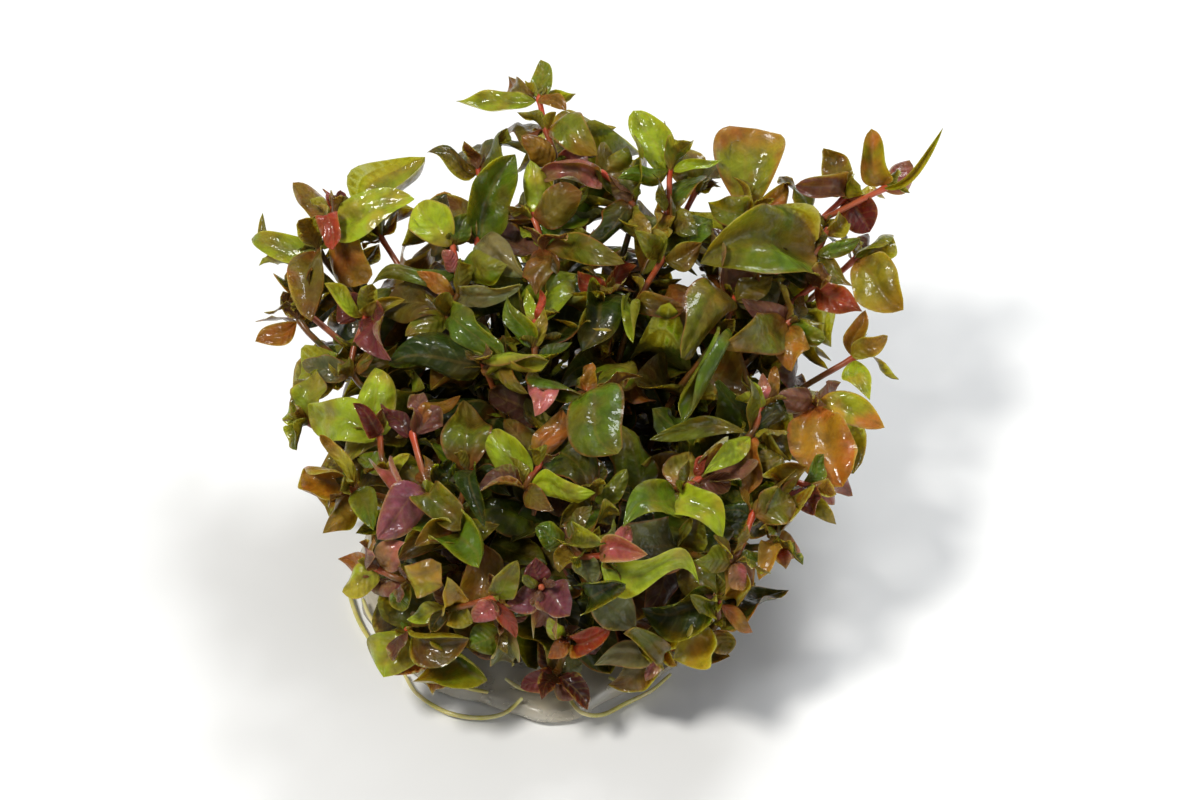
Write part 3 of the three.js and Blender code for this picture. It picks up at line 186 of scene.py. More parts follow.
# Each shoot seen in the photograph: its name and joints. A joint is [right, up, depth] and its
# leaves, a leaf [right, up, width, tone, depth, bow, roll], all from the picture's middle. The
# last three values of a leaf are these where they are left out:
USUAL = [0, 0.1, 0]
SHOOTS = [
  ["left_rosette",
    [-37.5, 20, -4, [-38.5, 10.5, 5, "bronze", 0, 0.1, 20], [-46.5, 21.5, 3.4, "lime", -2]],
    [-36, 23.5, -2, [-24.7, 26.8, 5.6, "lime", 0, 0.1, -20], [-31, 15.6, 5, "orange", 1, 0.1, 15],
      [-41, 29, 3.2, "bronze", -1, 0, 20], [-35.6, 20, 2.8, "red", 2, 0.2]],
    [-35.6, 25.6, -1, [-34.6, 28, 1.6, "plum", 0, 0], [-37, 28.2, 1.5, "red", -1, 0, 40]]],
  ["far_left",
    [-40, 10.5, -4, [-46, 7.8, 3, "orange", -1], [-40, 5, 2.8, "olive", 0, 0.1, 10],
      [-28.6, 5.1, 4.4, "olive", 0, 0.12, -10]],
    [-41, 18.5, -6, [-43.5, 11.5, 3.2, "silver", -2], [-45, 25, 2.6, "olive", -4, 0, 30]]],
  ["left_plum",
    [-33, 3.6, -5, [-39.8, 5, 3.2, "silver", -2], [-27, 7.5, 3, "olive", -3, 0.1, 20]],
    [-31.3, 11, -3, [-35, 14, 4, "plum"], [-27.8, 5.2, 4.4, "plum", 1, 0.1, 10],
      [-36.8, 15.6, 2.2, "lime", -1, 0, 30], [-26, 13.4, 2.2, "yellow", -1]]],
  ["left_cup",
    [-20.3, 11.2, -4, [-12.8, 6, 3.8, "green", 1, 0.12, 10], [-26, 8.5, 3, "olive", -2]],
    [-19, 13.8, -3.5, [-10.3, 15.4, 2.6, "silver", 1, 0.15], [-12.2, 12.4, 4, "dark", -1, 0.1, 10],
      [-24.5, 17.2, 2.2, "orange"]],
    [-19, 17, -3, [-12.3, 18, 4.2, "green", 1, 0.1, 10], [-21, 20, 1.8, "pink", 0, 0],
      [-30.5, 15.3, 2.4, "green", -1, 0.18, 20]],
    [-19.6, 20.4, -2.5, [-24.3, 26.2, 5.2, "lime"], [-17.4, 25, 3, "green", 0, 0, 20]]],
  ["top",
    [-5.8, 31.3, -3, [-10.5, 35.3, 3.6, "orange", -1], [-1.8, 34.3, 3.6, "pink", -1, 0, 10]],
    [-7.2, 36, -2, [-0.3, 32.6, 4.6, "olive", 1, 0.28, -10], [2.2, 36.4, 2.6, "yellow", -2]],
    [-8.1, 40, -1, [-19.2, 39.9, 3.2, "lime", 0, -0.12, 10], [-7.9, 45.4, 2.6, "green", -1, 0],
      [-12.2, 43.2, 2.8, "bronze", -1], [-4.5, 38.6, 2, "orange", 1]]],
  ["top_red_stem",
    [4.4, 26, -4, [-2, 21, 3.2, "dark", -1], [6.8, 21.5, 2.6, "olive", 0, 0.1, 20]],
    [0.4, 30.2, -2, [-8.4, 29.6, 3.2, "pink", 0, 0.14], [3.6, 34, 2.8, "olive", -3]]],
  ["top_left_green",
    [-16.4, 21, -4, [-11.3, 32.8, 5.4, "green", 0, 0.12, 10], [-9.8, 16.4, 3.8, "silver", 0, 0.14],
      [-9.6, 29, 2.6, "silver", -2, 0.1, 20], [-20.5, 27.5, 3.2, "bronze", -3]]],
  ["top_left_lime",
    [-7.7, 20, -4, [-8.6, 14, 3.8, "bronze", 1], [3.3, 18.2, 3.4, "olive", 0, 0.1, 10],
      [-3.6, 24.6, 3.6, "green", -2]],
    [-8.8, 24.2, -2.5, [-9.3, 32, 3.4, "lime", 0, 0.08], [-2.4, 27.8, 4.6, "bronze", 1],
      [1.8, 30.6, 2.8, "green", -3, 0.1, 20]]],
  ["top_spotted",
    [8.8, 24.5, -4, [5, 19.8, 3, "yellow", 0, 0.15], [13, 22, 3.2, "olive", -1]],
    [9.3, 30.6, -2, [4.4, 38.6, 4.4, "lime", 0, 0.05], [2.3, 29.6, 2.6, "green"], [16.2, 32, 1.4, "lime"],
      [11, 34.6, 1.6, "silver", -1, 0]]],
  ["top_right_big",
    [20, 24.6, -4, [20.9, 36.2, 8.4, "blush", 0, 0.06], [25, 28.8, 2.8, "orange"],
      [14.4, 26.4, 4, "green", -2, 0.1, 20]]],
  ["right_cup",
    [28.7, 19.6, -4, [13.3, 18.2, 9.4, "green", 1, 0.12, 5], [34.8, 21.6, 2, "green"],
      [33.6, 15.2, 3.2, "olive"]],
    [30, 22.2, -2.5, [25, 24.8, 3.2, "orange"], [33, 24.8, 2.8, "yellow", -1]]],
  ["right_bronze",
    [32.6, 27, -3, [29.8, 33.6, 3.8, "bronze", 0, 0.05], [26, 28.6, 3.2, "mauve", 0, 0.1, 10],
      [30.6, 23.6, 3.2, "green", 1], [36, 22.4, 4.6, "plum", 1, 0.12, 10]]],
  ["far_right",
    [37.9, 28.2, 3, [36.2, 36.2, 3.4, "blush", 8], [45.8, 36.4, 2, "lime", 12, 0.08, 10],
      [41.3, 32, 3.6, "pink", 8, 0.05], [33.5, 30.5, 2.6, "olive", 2]]],
  ["right_green",
    [33.8, 18.6, -5, [40.5, 12, 6.2, "yellow", 1, 0.12], [28.6, 13.8, 3.2, "olive"],
      [39, 22, 3, "olive", -2, 0.1, 20]]],
  ["bud_shoot",
    [-8.7, 3, -4, [-8.7, -2.2, 3.3, "pink", 2, 0.08], [-2.4, 0.6, 2.8, "green", 1, 0.12, 30]],
    [-8.7, 7, -2.5, [-12.3, 14, 2.6, "green"], [-7.4, 12.4, 1.6, "yellow", 0, 0],
      [-9.9, 12.2, 1.6, "pink", 1, 0.05]],
    [-8.7, 10.4, -2, [-9.8, 15, 1.5, "lime", 0, 0], [-8, 14.8, 1.1, "red", 0, 0]]],
  ["centre_tube",
    [-15.4, 4.6, -3, [-6.8, 5.2, 2.8, "lime", 1, 0.1, 20], [-28.3, 4.8, 5, "dark", -1],
      [-9.6, 0.8, 2.6, "olive", 0, 0.12], [-16.5, 10.5, 3.6, "green", -1]]],
  ["centre_hollow",
    [1, 6, -12, [-5.5, 1.5, 4.6, "dark", -8], [6.5, 2.5, 4.6, "dark", -9]],
    [1, 14.2, -6, [2.9, 18.8, 2.2, "red", -3, 0], [-3, 17.2, 2.6, "red", -3],
      [-2.4, 6.5, 5, "dark", -4, 0.12], [6.5, 8.5, 4.4, "dark", -6]]],
  ["centre_green",
    [-0.8, -13.6, -5, [3.6, -9.2, 2.4, "green", -1], [-5.4, -17, 3, "bronze", -2],
      [1.8, -16.6, 3.2, "silver", -2]],
    [-1.3, 1, -4, [2.4, -7.2, 6.8, "green", 0, 0.12], [-1, 5, 2, "orange", -2, 0],
      [-6, -3, 3, "dark", -3]]],
  ["mid_bronze",
    [4.6, 12.2, -5, [11.2, 12.2, 2.8, "bronze", 1], [4.4, 7.6, 2, "lime", 1],
      [8.2, 16.4, 1.6, "lime", 0, 0]],
    [8.2, 18.6, -4, [13.6, 21, 3.2, "bronze"], [4.6, 22.6, 3, "olive", -1]]],
  ["mid_green",
    [16, 8.6, -5, [11, -3, 2.6, "green", 2, 0.12, 20], [15.6, -3, 5.2, "green", 0, 0.12],
      [6.4, 2.4, 4, "dark", -2, 0.1, 10]],
    [17.8, 13.2, -4, [10.8, 5.6, 5.4, "olive", 1, 0.12], [23, 16.5, 3.2, "bronze", -1]]],
  ["right_olive",
    [25, 10.2, -4, [15.9, 7, 5.2, "olive", 2, 0.12], [25.6, 3.8, 4.2, "orange", 1],
      [18.8, 13.6, 3.2, "mauve", 0, 0.12], [30, 8, 3, "green", -1, 0.1, 20]]],
  ["right_bud",
    [20, -4.7, -2.5, [13.8, -9.9, 2.8, "lime", 1, 0.08, 10], [19, -13.2, 2.6, "orange", 1, 0.05, 30],
      [26.2, 2, 2.6, "dark", -2, 0.08], [6.6, -5.3, 2.4, "olive", -4, 0.05, 20]],
    [21.4, -1, -1.5, [21.7, 3.6, 1.7, "pink", 0, 0], [23.4, 4.6, 1.6, "orange", 0, 0],
      [19.8, 2.6, 1.4, "lime", -1, 0]]],
  ["mid_low",
    [10.3, -12, -3, [3, -17, 4.8, "green", 1, 0.14], [16.4, -18.3, 4.4, "lime", 1, 0.22],
      [12.2, -7, 3.8, "yellow", -2, 0.05], [11.4, -20.6, 4.2, "silver", -3, 0.08]],
    [13, -10.6, -2, [14.4, -7.4, 1.3, "red", 0, 0], [17.5, -11, 2.6, "mauve", -3]]],
  ["right_red_leaf",
    [28.4, 15.2, -4, [35, 11.8, 3.8, "red", 1], [27.6, 6.3, 2.2, "lime", 2, 0.08],
      [32.9, 5.2, 2.4, "olive", 0, 0.16, 20], [23.6, 17.4, 2.6, "dark", -2]]],
  ["right_edge",
    [33.8, 5.6, -5, [35.4, 12, 2.4, "orange", 0, 0.05], [38.4, 8.6, 2.6, "yellow"],
      [36, 0, 3.2, "lime", 1], [28.4, 2.2, 3.4, "olive", 1]]],
  ["right_wide",
    [28.4, -0.6, -4, [38, -3.7, 4, "blush", 1], [23.8, 0.8, 3.2, "mauve"],
      [32.4, -11.6, 7.2, "orange", 1], [25, -4.6, 3, "yellow", -2]]],
  ["right_low_red",
    [23, -19, -4, [21.2, -24, 2.6, "orange", 0, 0.1, 20], [24.8, -22.6, 2.2, "pink", -1],
      [26.8, -20.6, 3, "orange", -1]],
    [23.8, -10.7, -2.5, [28.4, -8.6, 4.2, "bronze", -1], [21.6, -6.6, 3.6, "olive", -2]],
    [27.2, -11.3, -1, [33.7, -12.8, 3.4, "pink", 0, 0.12], [28.6, -15.4, 3.6, "plum", 0, 0.05],
      [29.9, -7.2, 2.2, "green", 0, 0.1, 20], [31.5, -16.6, 2, "yellow", -2, 0.2, 30]]],
  ["right_low_olive",
    [17.4, -21.4, -2.5, [19, -25.4, 2.2, "pink", 0, 0.05], [12.4, -21.4, 3.2, "olive", -1],
      [17.7, -27.2, 2.8, "yellow", -1]],
    [20.3, -15.5, -2, [25.6, -13, 4.4, "olive"], [28.4, -17, 5.2, "orange", -1],
      [21.2, -23.2, 2.6, "green", 0, 0.05, 10], [16, -14.5, 2.6, "dark", -2]]],
  ["right_foot",
    [15.2, -30.2, -3, [9.8, -34.6, 4.8, "yellow", 1, 0.12], [16.9, -34, 3, "olive"],
      [7.4, -31.4, 3.6, "dark"]],
    [15.8, -27, -2.5, [20.4, -31, 2, "orange"], [12, -26, 2.6, "olive"],
      [5.5, -27.8, 5, "dark", -1, 0.12]]],
  ["left_front",
    [-28, -9.6, -3.5, [-25.6, -14.4, 2.4, "pink", 0, 0.15], [-32.6, -7.4, 2.8, "green", -1],
      [-25.4, -7.2, 2, "lime"]],
    [-29.4, -4.9, -2, [-30, 4.3, 4.8, "lime", 0, 0.06, 10], [-39, -0.6, 5.4, "lime", 0, 0.12],
      [-33, -0.4, 2.2, "plum", 1, 0.05], [-34.4, -8.4, 2.4, "yellow", -1]]],
  ["left_red_stem",
    [-22.5, -12, -2, [-18.6, -17.4, 3.8, "olive", 1, 0.08], [-29.7, -18.6, 4.8, "violet", 1],
      [-19.6, -8.2, 2.6, "dark", -2]],
    [-25, -4.7, -0.5, [-29.3, -0.4, 2.3, "plum", 1, 0.05], [-23.5, 1, 4.2, "mauve", -1, 0.06, 20],
      [-18.6, 0.6, 2.2, "orange", -1]]],
  ["left_textured",
    [-19.4, -17.6, -3, [-16.2, -22.4, 5.2, "green", 1, 0.06], [-24.8, -19.6, 3.2, "bronze"],
      [-13.4, -16.6, 3, "olive", -1]],
    [-17.2, -9.6, -4, [-18.2, 0, 5.6, "olive", 0, 0.08], [-15.4, -17, 2.6, "dark", 0, 0.06],
      [-11.8, -12.8, 2.6, "dark", -2]]],
  ["left_boat",
    [-33.2, -12, -3, [-39.9, -10, 4.4, "orange", 0, 0.14], [-37.4, -4.6, 1.6, "yellow", -1, 0],
      [-30.2, -17.4, 3.2, "green", -1], [-37, -17.8, 3.2, "olive", -2]]],
  ["front_glint",
    [-9.8, -11.5, -3, [-14.4, -4, 4, "lime", 1, 0.08], [-0.6, -12.4, 3.2, "lime", 1, 0.1, 10],
      [-6.2, -14.8, 2.6, "bronze"], [-10.2, -18.6, 3, "dark", -1]],
    [-8.2, -8.8, -2, [-5, -1.2, 3.2, "orange", 0, 0.08], [-2.6, -3.4, 4.6, "yellow", 0, 0.12, 20],
      [-12.8, -2.6, 3, "bronze", -3]]],
  ["front_pink",
    [-1.6, -25.4, -4, [4.8, -30.6, 4.6, "silver", 1], [3.4, -24.6, 3.4, "dark", -2]],
    [-4.4, -19, -2, [-5.4, -23, 2.6, "olive"], [-8.6, -17, 2.8, "green", -1]],
    [-2.5, -20.8, -0.5, [-1, -24.6, 2.8, "silver"], [-1.4, -17.4, 1.6, "lime", 0, 0]],
    [0.2, -20.8, 0.5, [13.3, -24.8, 5.6, "lime", -1, 0.12, 10], [4, -16.8, 2.8, "pink", 1, 0.05],
      [6.4, -20.6, 4.4, "pink", 3, 0.12], [9, -18.6, 3, "plum", -2, 0.08, 10]]],
  ["low_gold",
    [-25.6, -24, -3, [-21.2, -21.8, 4, "yellow", 0, 0.12], [-26.4, -28.2, 2.6, "green"],
      [-21.2, -28, 3.4, "plum"]],
    [-29.4, -22.7, -2, [-35, -21.2, 2.8, "orange"], [-26, -19, 3.2, "pink", 1],
      [-34.4, -25.6, 3.4, "lime"]]],
  ["low_red_stem",
    [-20.2, -27.8, -2, [-25.8, -29.3, 2.2, "lime", 1], [-17, -29.8, 3.2, "yellow"],
      [-20.4, -23.6, 3, "yellow"]],
    [-14.4, -26.5, -1, [-11, -21.4, 3, "olive", 1, 0.08], [-16.9, -29.6, 2.8, "pink", 1, 0.05],
      [-11.2, -31.8, 1.8, "red", 1, 0.05]]],
  ["low_mauve",
    [-7.8, -25, -2.5, [-4, -28.8, 4.4, "violet", 1], [-12.6, -27.6, 3.2, "violet", 0, 0.12],
      [-7.8, -30, 3, "mauve", 1, 0.12], [-8.6, -21, 3, "plum", -1]]],
  ["low_bronze",
    [-22.4, -34.4, -4, [-15, -37.4, 5.2, "green", 1], [-20.4, -38.2, 3, "mauve", -1]],
    [-25.4, -31, -3, [-17.4, -31.8, 4.4, "bronze", 1, 0.12], [-21.2, -35.2, 3, "mauve"],
      [-28.9, -37, 6.2, "lime", 1, 0.06], [-30.6, -28.4, 3, "bronze"]]],
  ["low_green",
    [-13.4, -30, -3, [-17.4, -33, 4, "green", 1, 0.14], [-11, -36.2, 3.8, "silver"],
      [-8.6, -33.6, 4, "dark", -1]]],
  ["low_centre",
    [-5.8, -36.4, -4, [-2.6, -39.6, 3.8, "mauve"], [-10.6, -38.4, 2.8, "plum"],
      [-2.4, -35, 2.6, "silver"]],
    [-4.2, -31.8, -3, [-6.8, -29, 2, "lime", 0, 0.05], [-7, -34.4, 2, "orange", 0, 0.05],
      [1.4, -30.6, 2.8, "red"], [-0.6, -33.8, 2.8, "plum"]]],
  ["low_right",
    [7.9, -33.4, -4, [-0.8, -35.4, 3.2, "silver", 1, 0.12], [1, -38, 4, "bronze", 0, 0.12],
      [7, -38.4, 3, "lime"], [3.2, -31.2, 2.8, "olive"]]],
]

# Shoots back_1 to back_10, which the photograph hides: [azimuth, reach, height] of the tip
HIDDEN_SHOOTS = [
  [38, 38, 33], [60, 39, 38], [82, 37, 34], [104, 38, 39], [126, 38, 33],
  [150, 37, 31], [172, 31, 24], [12, 33, 23], [72, 32, 18], [116, 32, 18],
]

# Tones that leaves take where no leaf was read from the picture
COMMON_TONES = ["olive", "green", "bronze", "olive", "dark", "mauve", "green", "orange", "lime", "silver"]

# Roots: a name and points read from the picture, each [right, up, height over the ground]
ROOTS = [
  ["left_outer", [-33.6, -24.4, 1.4], [-33.4, -26, 0.9], [-32.2, -29.4, 0.6],
    [-30.4, -32.4, 0.6], [-28.6, -34.6, 0.8]],
  ["left_inner", [-31.6, -26.6, 3.4], [-30.6, -29, 3.3], [-28.4, -31.6, 3.3], [-26.4, -33.2, 3.3]],
  ["front_loop", [-26.2, -36.4, 1], [-24.4, -39.2, 0.6], [-20.6, -41.6, 0.6],
    [-16.4, -42.4, 0.7], [-12.8, -41.8, 1.6], [-10.4, -39.8, 3.3]],
  ["front_inner", [-24, -34.4, 3.3], [-21.6, -36.6, 3.3], [-18.4, -38.2, 3.3], [-15, -39, 3.3]],
  ["front_cross", [-12.6, -37.2, 3.3], [-10.6, -38.4, 3.3], [-8.2, -38.6, 3.3], [-5, -37.6, 3.3]],
  ["right_loop", [-4.4, -39.4, 3.3], [-2.6, -41.6, 3.2], [0.2, -42, 1.2],
    [3.6, -40.4, 0.6], [6.8, -38.8, 0.6], [9.4, -36.6, 0.8]],
  ["right_inner", [1.2, -37, 3.3], [3.6, -38, 3.3], [6.2, -37.4, 3.3], [7.6, -35.6, 3.3]],
]

# How blades differ by chance: (channel, least, most)
FORMS = {
    "widest": (1, 0.34, 0.5),
    "point": (2, 0.62, 1.12),
    "fold": (10, -0.1, 0.55),
    "curl": (3, -1.5, 1.5),
    "wave": (4, 0.12, 0.48),
    "wave_count": (5, 0.8, 2),
    "phase": (6, 0, 6.28),
    "twist": (7, -0.95, 0.95),
    "hook": (8, -0.07, 0.13),
    "sway": (9, -0.11, 0.11),
    "snake": (13, -0.06, 0.06),
    "lopsided": (12, -0.35, 0.35),
    "crumple": (14, 0.06, 0.18),
    "luck": (15, 0, 1),
}


def bent(fold, curl, wave, **more):
    """Values that a leaf has in its Form in place of those by chance."""
    return {"fold": fold, "curl": curl, "wave": wave, **more}


# Leaves of a form of their own, by their place in SHOOTS
ODD_FORMS = {
    (13.3, -24.8): bent(0.1, 0.4, 0.1, snake=-0.15, widest=0.28, point=1.15, twist=0, slim=0.78),
    (6.4, -20.6): bent(0.8, 0.4, 0.15, point=1.0, slim=0.7),
    (45.8, 36.4): bent(0.9, 0.3, 0.1, point=0.9, slim=0.55),
    (36.2, 36.2): bent(0.3, 1.3, 0.15, point=0.7),
    (-6.8, 5.2): bent(0.2, 2.7, 0.05, point=0.35),
    (-2.4, 0.6): bent(0.2, 2.4, 0.05, point=0.5),
    (11, -3): bent(0.2, 2.6, 0.05, point=0.4),
    (13.3, 18.2): bent(0.25, 0.9, 0.4, widest=0.42, point=0.7, crumple=0.2, luck=0.9),
    (20.9, 36.2): bent(0.2, 0.3, 0.14, widest=0.72, point=0.34, hook=-0.035, luck=0.95),
    (-39.9, -10): bent(0.5, 1.5, 0.1),
    (-24.7, 26.8): bent(0.05, 0.3, 0.16, widest=0.36),
    (-46.5, 21.5): bent(0.1, 0.4, 0.1, hook=-0.04),
    (-38.5, 10.5): bent(0.35, 0.7, 0.15, point=0.6),
    (-31, 15.6): bent(0.2, -0.5, 0.1, widest=0.6, point=0.5),
    (4.4, 38.6): bent(0.15, 0.5, 0.1, point=0.6),
    (-0.3, 32.6): bent(0.1, -0.6, 0.25, twist=0.3, hook=0),
    (-4, -28.8): bent(0.3, 1.1, 0.5),
    (-7.8, -30): bent(0.3, 1.2, 0.5),
    (-14.4, -4): bent(0.5, 0.6, 0.2, hook=-0.03),
    (2.4, -7.2): bent(0.15, -0.5, 0.08, widest=0.46, point=0.66),
    (40.5, 12): bent(0.4, 0.2, 0.2, widest=0.55, point=0.8, luck=0.9),
    (16.4, -18.3): bent(0.2, 0.6, 0.2, snake=-0.1),
    (32.4, -11.6): bent(0.15, 0.4, 0.25, widest=0.6, point=0.5, luck=0.9),
    (-29.7, -18.6): bent(0.3, -0.5, 0.12, widest=0.45, point=0.8, luck=0.6),
    (-16.2, -22.4): bent(0.3, 1.2, 0.2, point=0.9, luck=0.2),
    (3, -17): bent(0.1, 0.5, 0.15, snake=0.08),
}

# Tones as seen in even light, each with the colour that it turns to at the rim and tip
TONES = {
    "lime": ((140, 156, 34), (146, 126, 42)),
    "blush": ((136, 142, 34), (170, 92, 48)),
    "green": ((80, 102, 22), (104, 94, 27)),
    "dark": ((38, 52, 13), (62, 52, 17)),
    "olive": ((96, 102, 25), (116, 84, 30)),
    "bronze": ((98, 84, 28), (104, 60, 27)),
    "orange": ((132, 96, 30), (142, 72, 31)),
    "mauve": ((114, 76, 60), (94, 48, 42)),
    "plum": ((94, 40, 42), (62, 30, 26)),
    "pink": ((156, 80, 78), (128, 104, 56)),
    "violet": ((116, 62, 74), (96, 60, 46)),
    "silver": ((100, 104, 62), (108, 92, 54)),
    "yellow": ((140, 132, 38), (144, 100, 40)),
    "red": ((146, 56, 36), (108, 46, 27)),
}


def linear(colour):
    """A colour of 0 to 255 as linear light."""
    return tuple((c / 255) ** 2.2 for c in colour)


def chance(a, b, c):
    """A number from 0 to 1 that depends only on the three given."""
    wave = math.sin(a * 12.9898 + b * 78.233 + c * 37.719) * 43758.5453
    return wave - math.floor(wave)


def within(limits, share):
    return limits[0] + (limits[1] - limits[0]) * share


def one_of(tones, share):
    return tones[math.floor(share * len(tones))]


def unit(v):
    return v / np.linalg.norm(v)


def square(direction, about):
    """The part of a direction at right angles to another, as a unit vector."""
    return unit(direction - about * direction.dot(about))


def part_way(a, b, angle):
    """The direction at an angle from one towards another at right angles to it."""
    return a * math.cos(angle) + b * math.sin(angle)


def turned(v, axis, degrees):
    a = math.radians(degrees)
    return v * math.cos(a) + np.cross(axis, v) * math.sin(a) + axis * axis.dot(v) * (1 - math.cos(a))


def seen(right, up, near):
    """Where a spot of the picture lies, at a given distance nearer to the viewer than the aim."""
    shrink = 1 - near / VIEW_DISTANCE
    return MIDDLE + RIGHT * (right * shrink) + UPWARD * (up * shrink) + NEARER * near


def on_surface(right, up, depth):
    """Where a spot of the picture lies on the tuft's outer surface, moved nearer by the depth."""
    height = up - PAD_UP
    side = right - PAD_RIGHT - RIDGE_X
    slope = -TOP_SLOPE * height if height > 0 else WALL_SLOPE * height
    return seen(right, up, RIM_NEAR + slope - SIDE_FALL * side * side + depth)


def on_height(right, up, height):
    """Where a spot of the picture lies at a given height over the ground."""
    risen = up * LEAN
    return seen(right, up, (height - MIDDLE[2] - risen) / (RISE - risen / VIEW_DISTANCE))


class Corners:
    """Finds out whether a point is a corner of a solid."""

    def __init__(self, name):
        vertices = NODES[name].data.vertices
        self.tree = KDTree(len(vertices))
        for i, vertex in enumerate(vertices):
            self.tree.insert(vertex.co / MM, i)
        self.tree.balance()

    def has(self, point):
        return self.tree.find(Vector(point))[2] < SAME_SPOT


# Stems, laid as in the solids


def foot_of(first, number, turn, slide):
    """Where a stem leaves the gel, nearer to the middle than its first joint."""
    low = max(0, 1 - first[2] / LOW_HEIGHT)
    spread = within(FOOT_SPREAD, chance(number, 3, 8))
    reach = math.hypot(first[0], first[1]) * (spread + LOW_SPREAD * low) + slide
    azimuth = math.atan2(first[1], first[0]) + turn
    kept = min(FOOT_REACH, max(1, reach))
    return np.array([kept * math.cos(azimuth), kept * math.sin(azimuth), STEM_FOOT])


def joints_of(read_joints, foot):
    """All joints of a stem: those that the photograph hides, then those read from it."""
    first = read_joints[0][0]
    rise = np.linalg.norm(first - foot)
    bend = foot + np.array([0, 0, STEM_RISE * rise])
    hidden = math.floor(rise / LEAF_SPACING)
    joints = []
    for i in range(1, hidden):
        t = (i - FIRST_JOINT) / (hidden - FIRST_JOINT)
        joints.append((foot * (1 - t) ** 2 + bend * (2 * t * (1 - t)) + first * t * t, []))
    return joints + read_joints


def frames_of(foot, joints):
    """(place, along, u, v) at the foot and at each joint."""
    places = [foot] + [place for place, _ in joints]
    frames = []
    across = None
    for i, place in enumerate(places):
        before = places[max(0, i - 1)]
        after = places[min(len(places) - 1, i + 1)]
        along = unit(after - before) if i else np.array([0.0, 0.0, 1.0])
        if across is None:
            # The small height is for a foot at the very middle
            across = unit(np.array([foot[0], foot[1], 0.01]))
        across = square(across, along)
        frames.append((place, along, across, np.cross(along, across)))
    return frames


def stem_of(read_joints, number, corners):
    """The joints and frames of the stem that the solid has."""
    for slide, turn in product(FOOT_SLIDES, FOOT_TURNS):
        foot = foot_of(read_joints[0][0], number, turn, slide)
        joints = joints_of(read_joints, foot)
        frames = frames_of(foot, joints)
        place, _, u, v = frames[0]
        if corners.has(place + (u + v) * STEM_HALF):
            return joints, frames
    raise ValueError("no foot fits stem number %d" % number)


# Leaves, laid as in the solids


def face_normal(stem_frame, side):
    axis = stem_frame[2] if side % 2 == 0 else stem_frame[3]
    return axis if side < 2 else -axis


class Leaf:
    """How one leaf lies and what it looks like."""

    def __init__(self, root, tip, facing, roll, width, bow, tone):
        self.root = root
        self.length = np.linalg.norm(tip - root)
        self.along = unit(tip - root)
        steep = abs(facing.dot(self.along)) > STEEP
        upper = square(UPWARD if steep else facing, self.along)
        self.upper = turned(upper, self.along, roll)
        self.right = np.cross(self.upper, self.along)
        self.width = width
        self.bow = bow
        self.tone = tone
        self.age = 0
        self.spot = None


def read_leaf_ways(stem_frame, row):
    right, up, width, tone, depth, bow, roll = row
    for share, shift in product(SHORTENINGS, DEPTH_SHIFTS):
        far = on_surface(right, up, depth + shift)
        tip = stem_frame[0] + (far - stem_frame[0]) * share
        yield tip, (NEARER, roll, width * share, bow, tone)


def ruled_leaf_ways(number, joint, count, stem_frame, side, scale):
    def pick(channel):
        return chance(number + 1, joint * 4 + side + 1, channel)

    length = scale * within(LEAF_LENGTH, pick(1))
    slender = within(SLENDERNESS, pick(2))
    raised = within((OLD_RAISE, YOUNG_RAISE), joint / count) + RAISE_SPREAD * (pick(3) - 0.5)
    turn = TURN_SPREAD * (pick(4) - 0.5)
    roll = ROLL_SPREAD * (pick(5) - 0.5)
    tone = one_of(COMMON_TONES, pick(6))
    bow = within(BOW, pick(7))
    place, along, _, _ = stem_frame
    normal = face_normal(stem_frame, side)
    sideways = np.cross(along, normal)
    facing = unit(along + np.array([0, 0, 1]))
    for size, lifted, swung in product(SIZES, RAISES, TURNS):
        away = part_way(normal, sideways, math.radians(turn + swung))
        aim = part_way(away, along, math.radians(raised + lifted))
        yield place + aim * (length * size), (facing, roll, length * size * slender, bow, tone)


def kept_leaf(stem_frame, side, ways, corners):
    """The way that the solid's leaf was laid, or None if it has no such leaf."""
    root = stem_frame[0] + face_normal(stem_frame, side) * STEM_HALF
    for tip, looks in ways:
        if corners.has(tip):
            return Leaf(root, tip, *looks)
    return None


def side_for(stem_frame, row, taken):
    right, up, _, _, depth, _, _ = row
    way = unit(on_surface(right, up, depth) - stem_frame[0])
    free = [side for side in range(4) if side not in taken]
    return max(free, key=lambda side: way.dot(face_normal(stem_frame, side)))


def leaves_of(number, joints, frames, corners):
    leaves = []
    for j, (_, rows) in enumerate(joints):
        stem_frame = frames[j + 1]
        taken = []
        kept = []
        for row in rows:
            side = side_for(stem_frame, row, taken)
            taken.append(side)
            leaf = kept_leaf(stem_frame, side, read_leaf_ways(stem_frame, row), corners)
            if leaf:
                leaf.spot = tuple(row[:2])
                kept.append(side)
                leaves.append(leaf)
        for side in range(4):
            if side in kept:
                continue
            second = not rows and side % 2 != j % 2
            scale = SECOND_SCALE if second else 1
            ways = ruled_leaf_ways(number, j, len(joints), stem_frame, side, scale)
            leaf = kept_leaf(stem_frame, side, ways, corners)
            if leaf:
                leaf.age = 1 - j / len(joints)
                leaves.append(leaf)
    return leaves


# Meshes. A Build gathers points, faces, and for each point what its material reads.

COLOURS = ("tone", "turn")
FIELDS = COLOURS + ("along", "across", "luck", "under")


def in_scene(name, data):
    made = bpy.data.objects.new(name, data)
    bpy.context.scene.collection.objects.link(made)
    return made


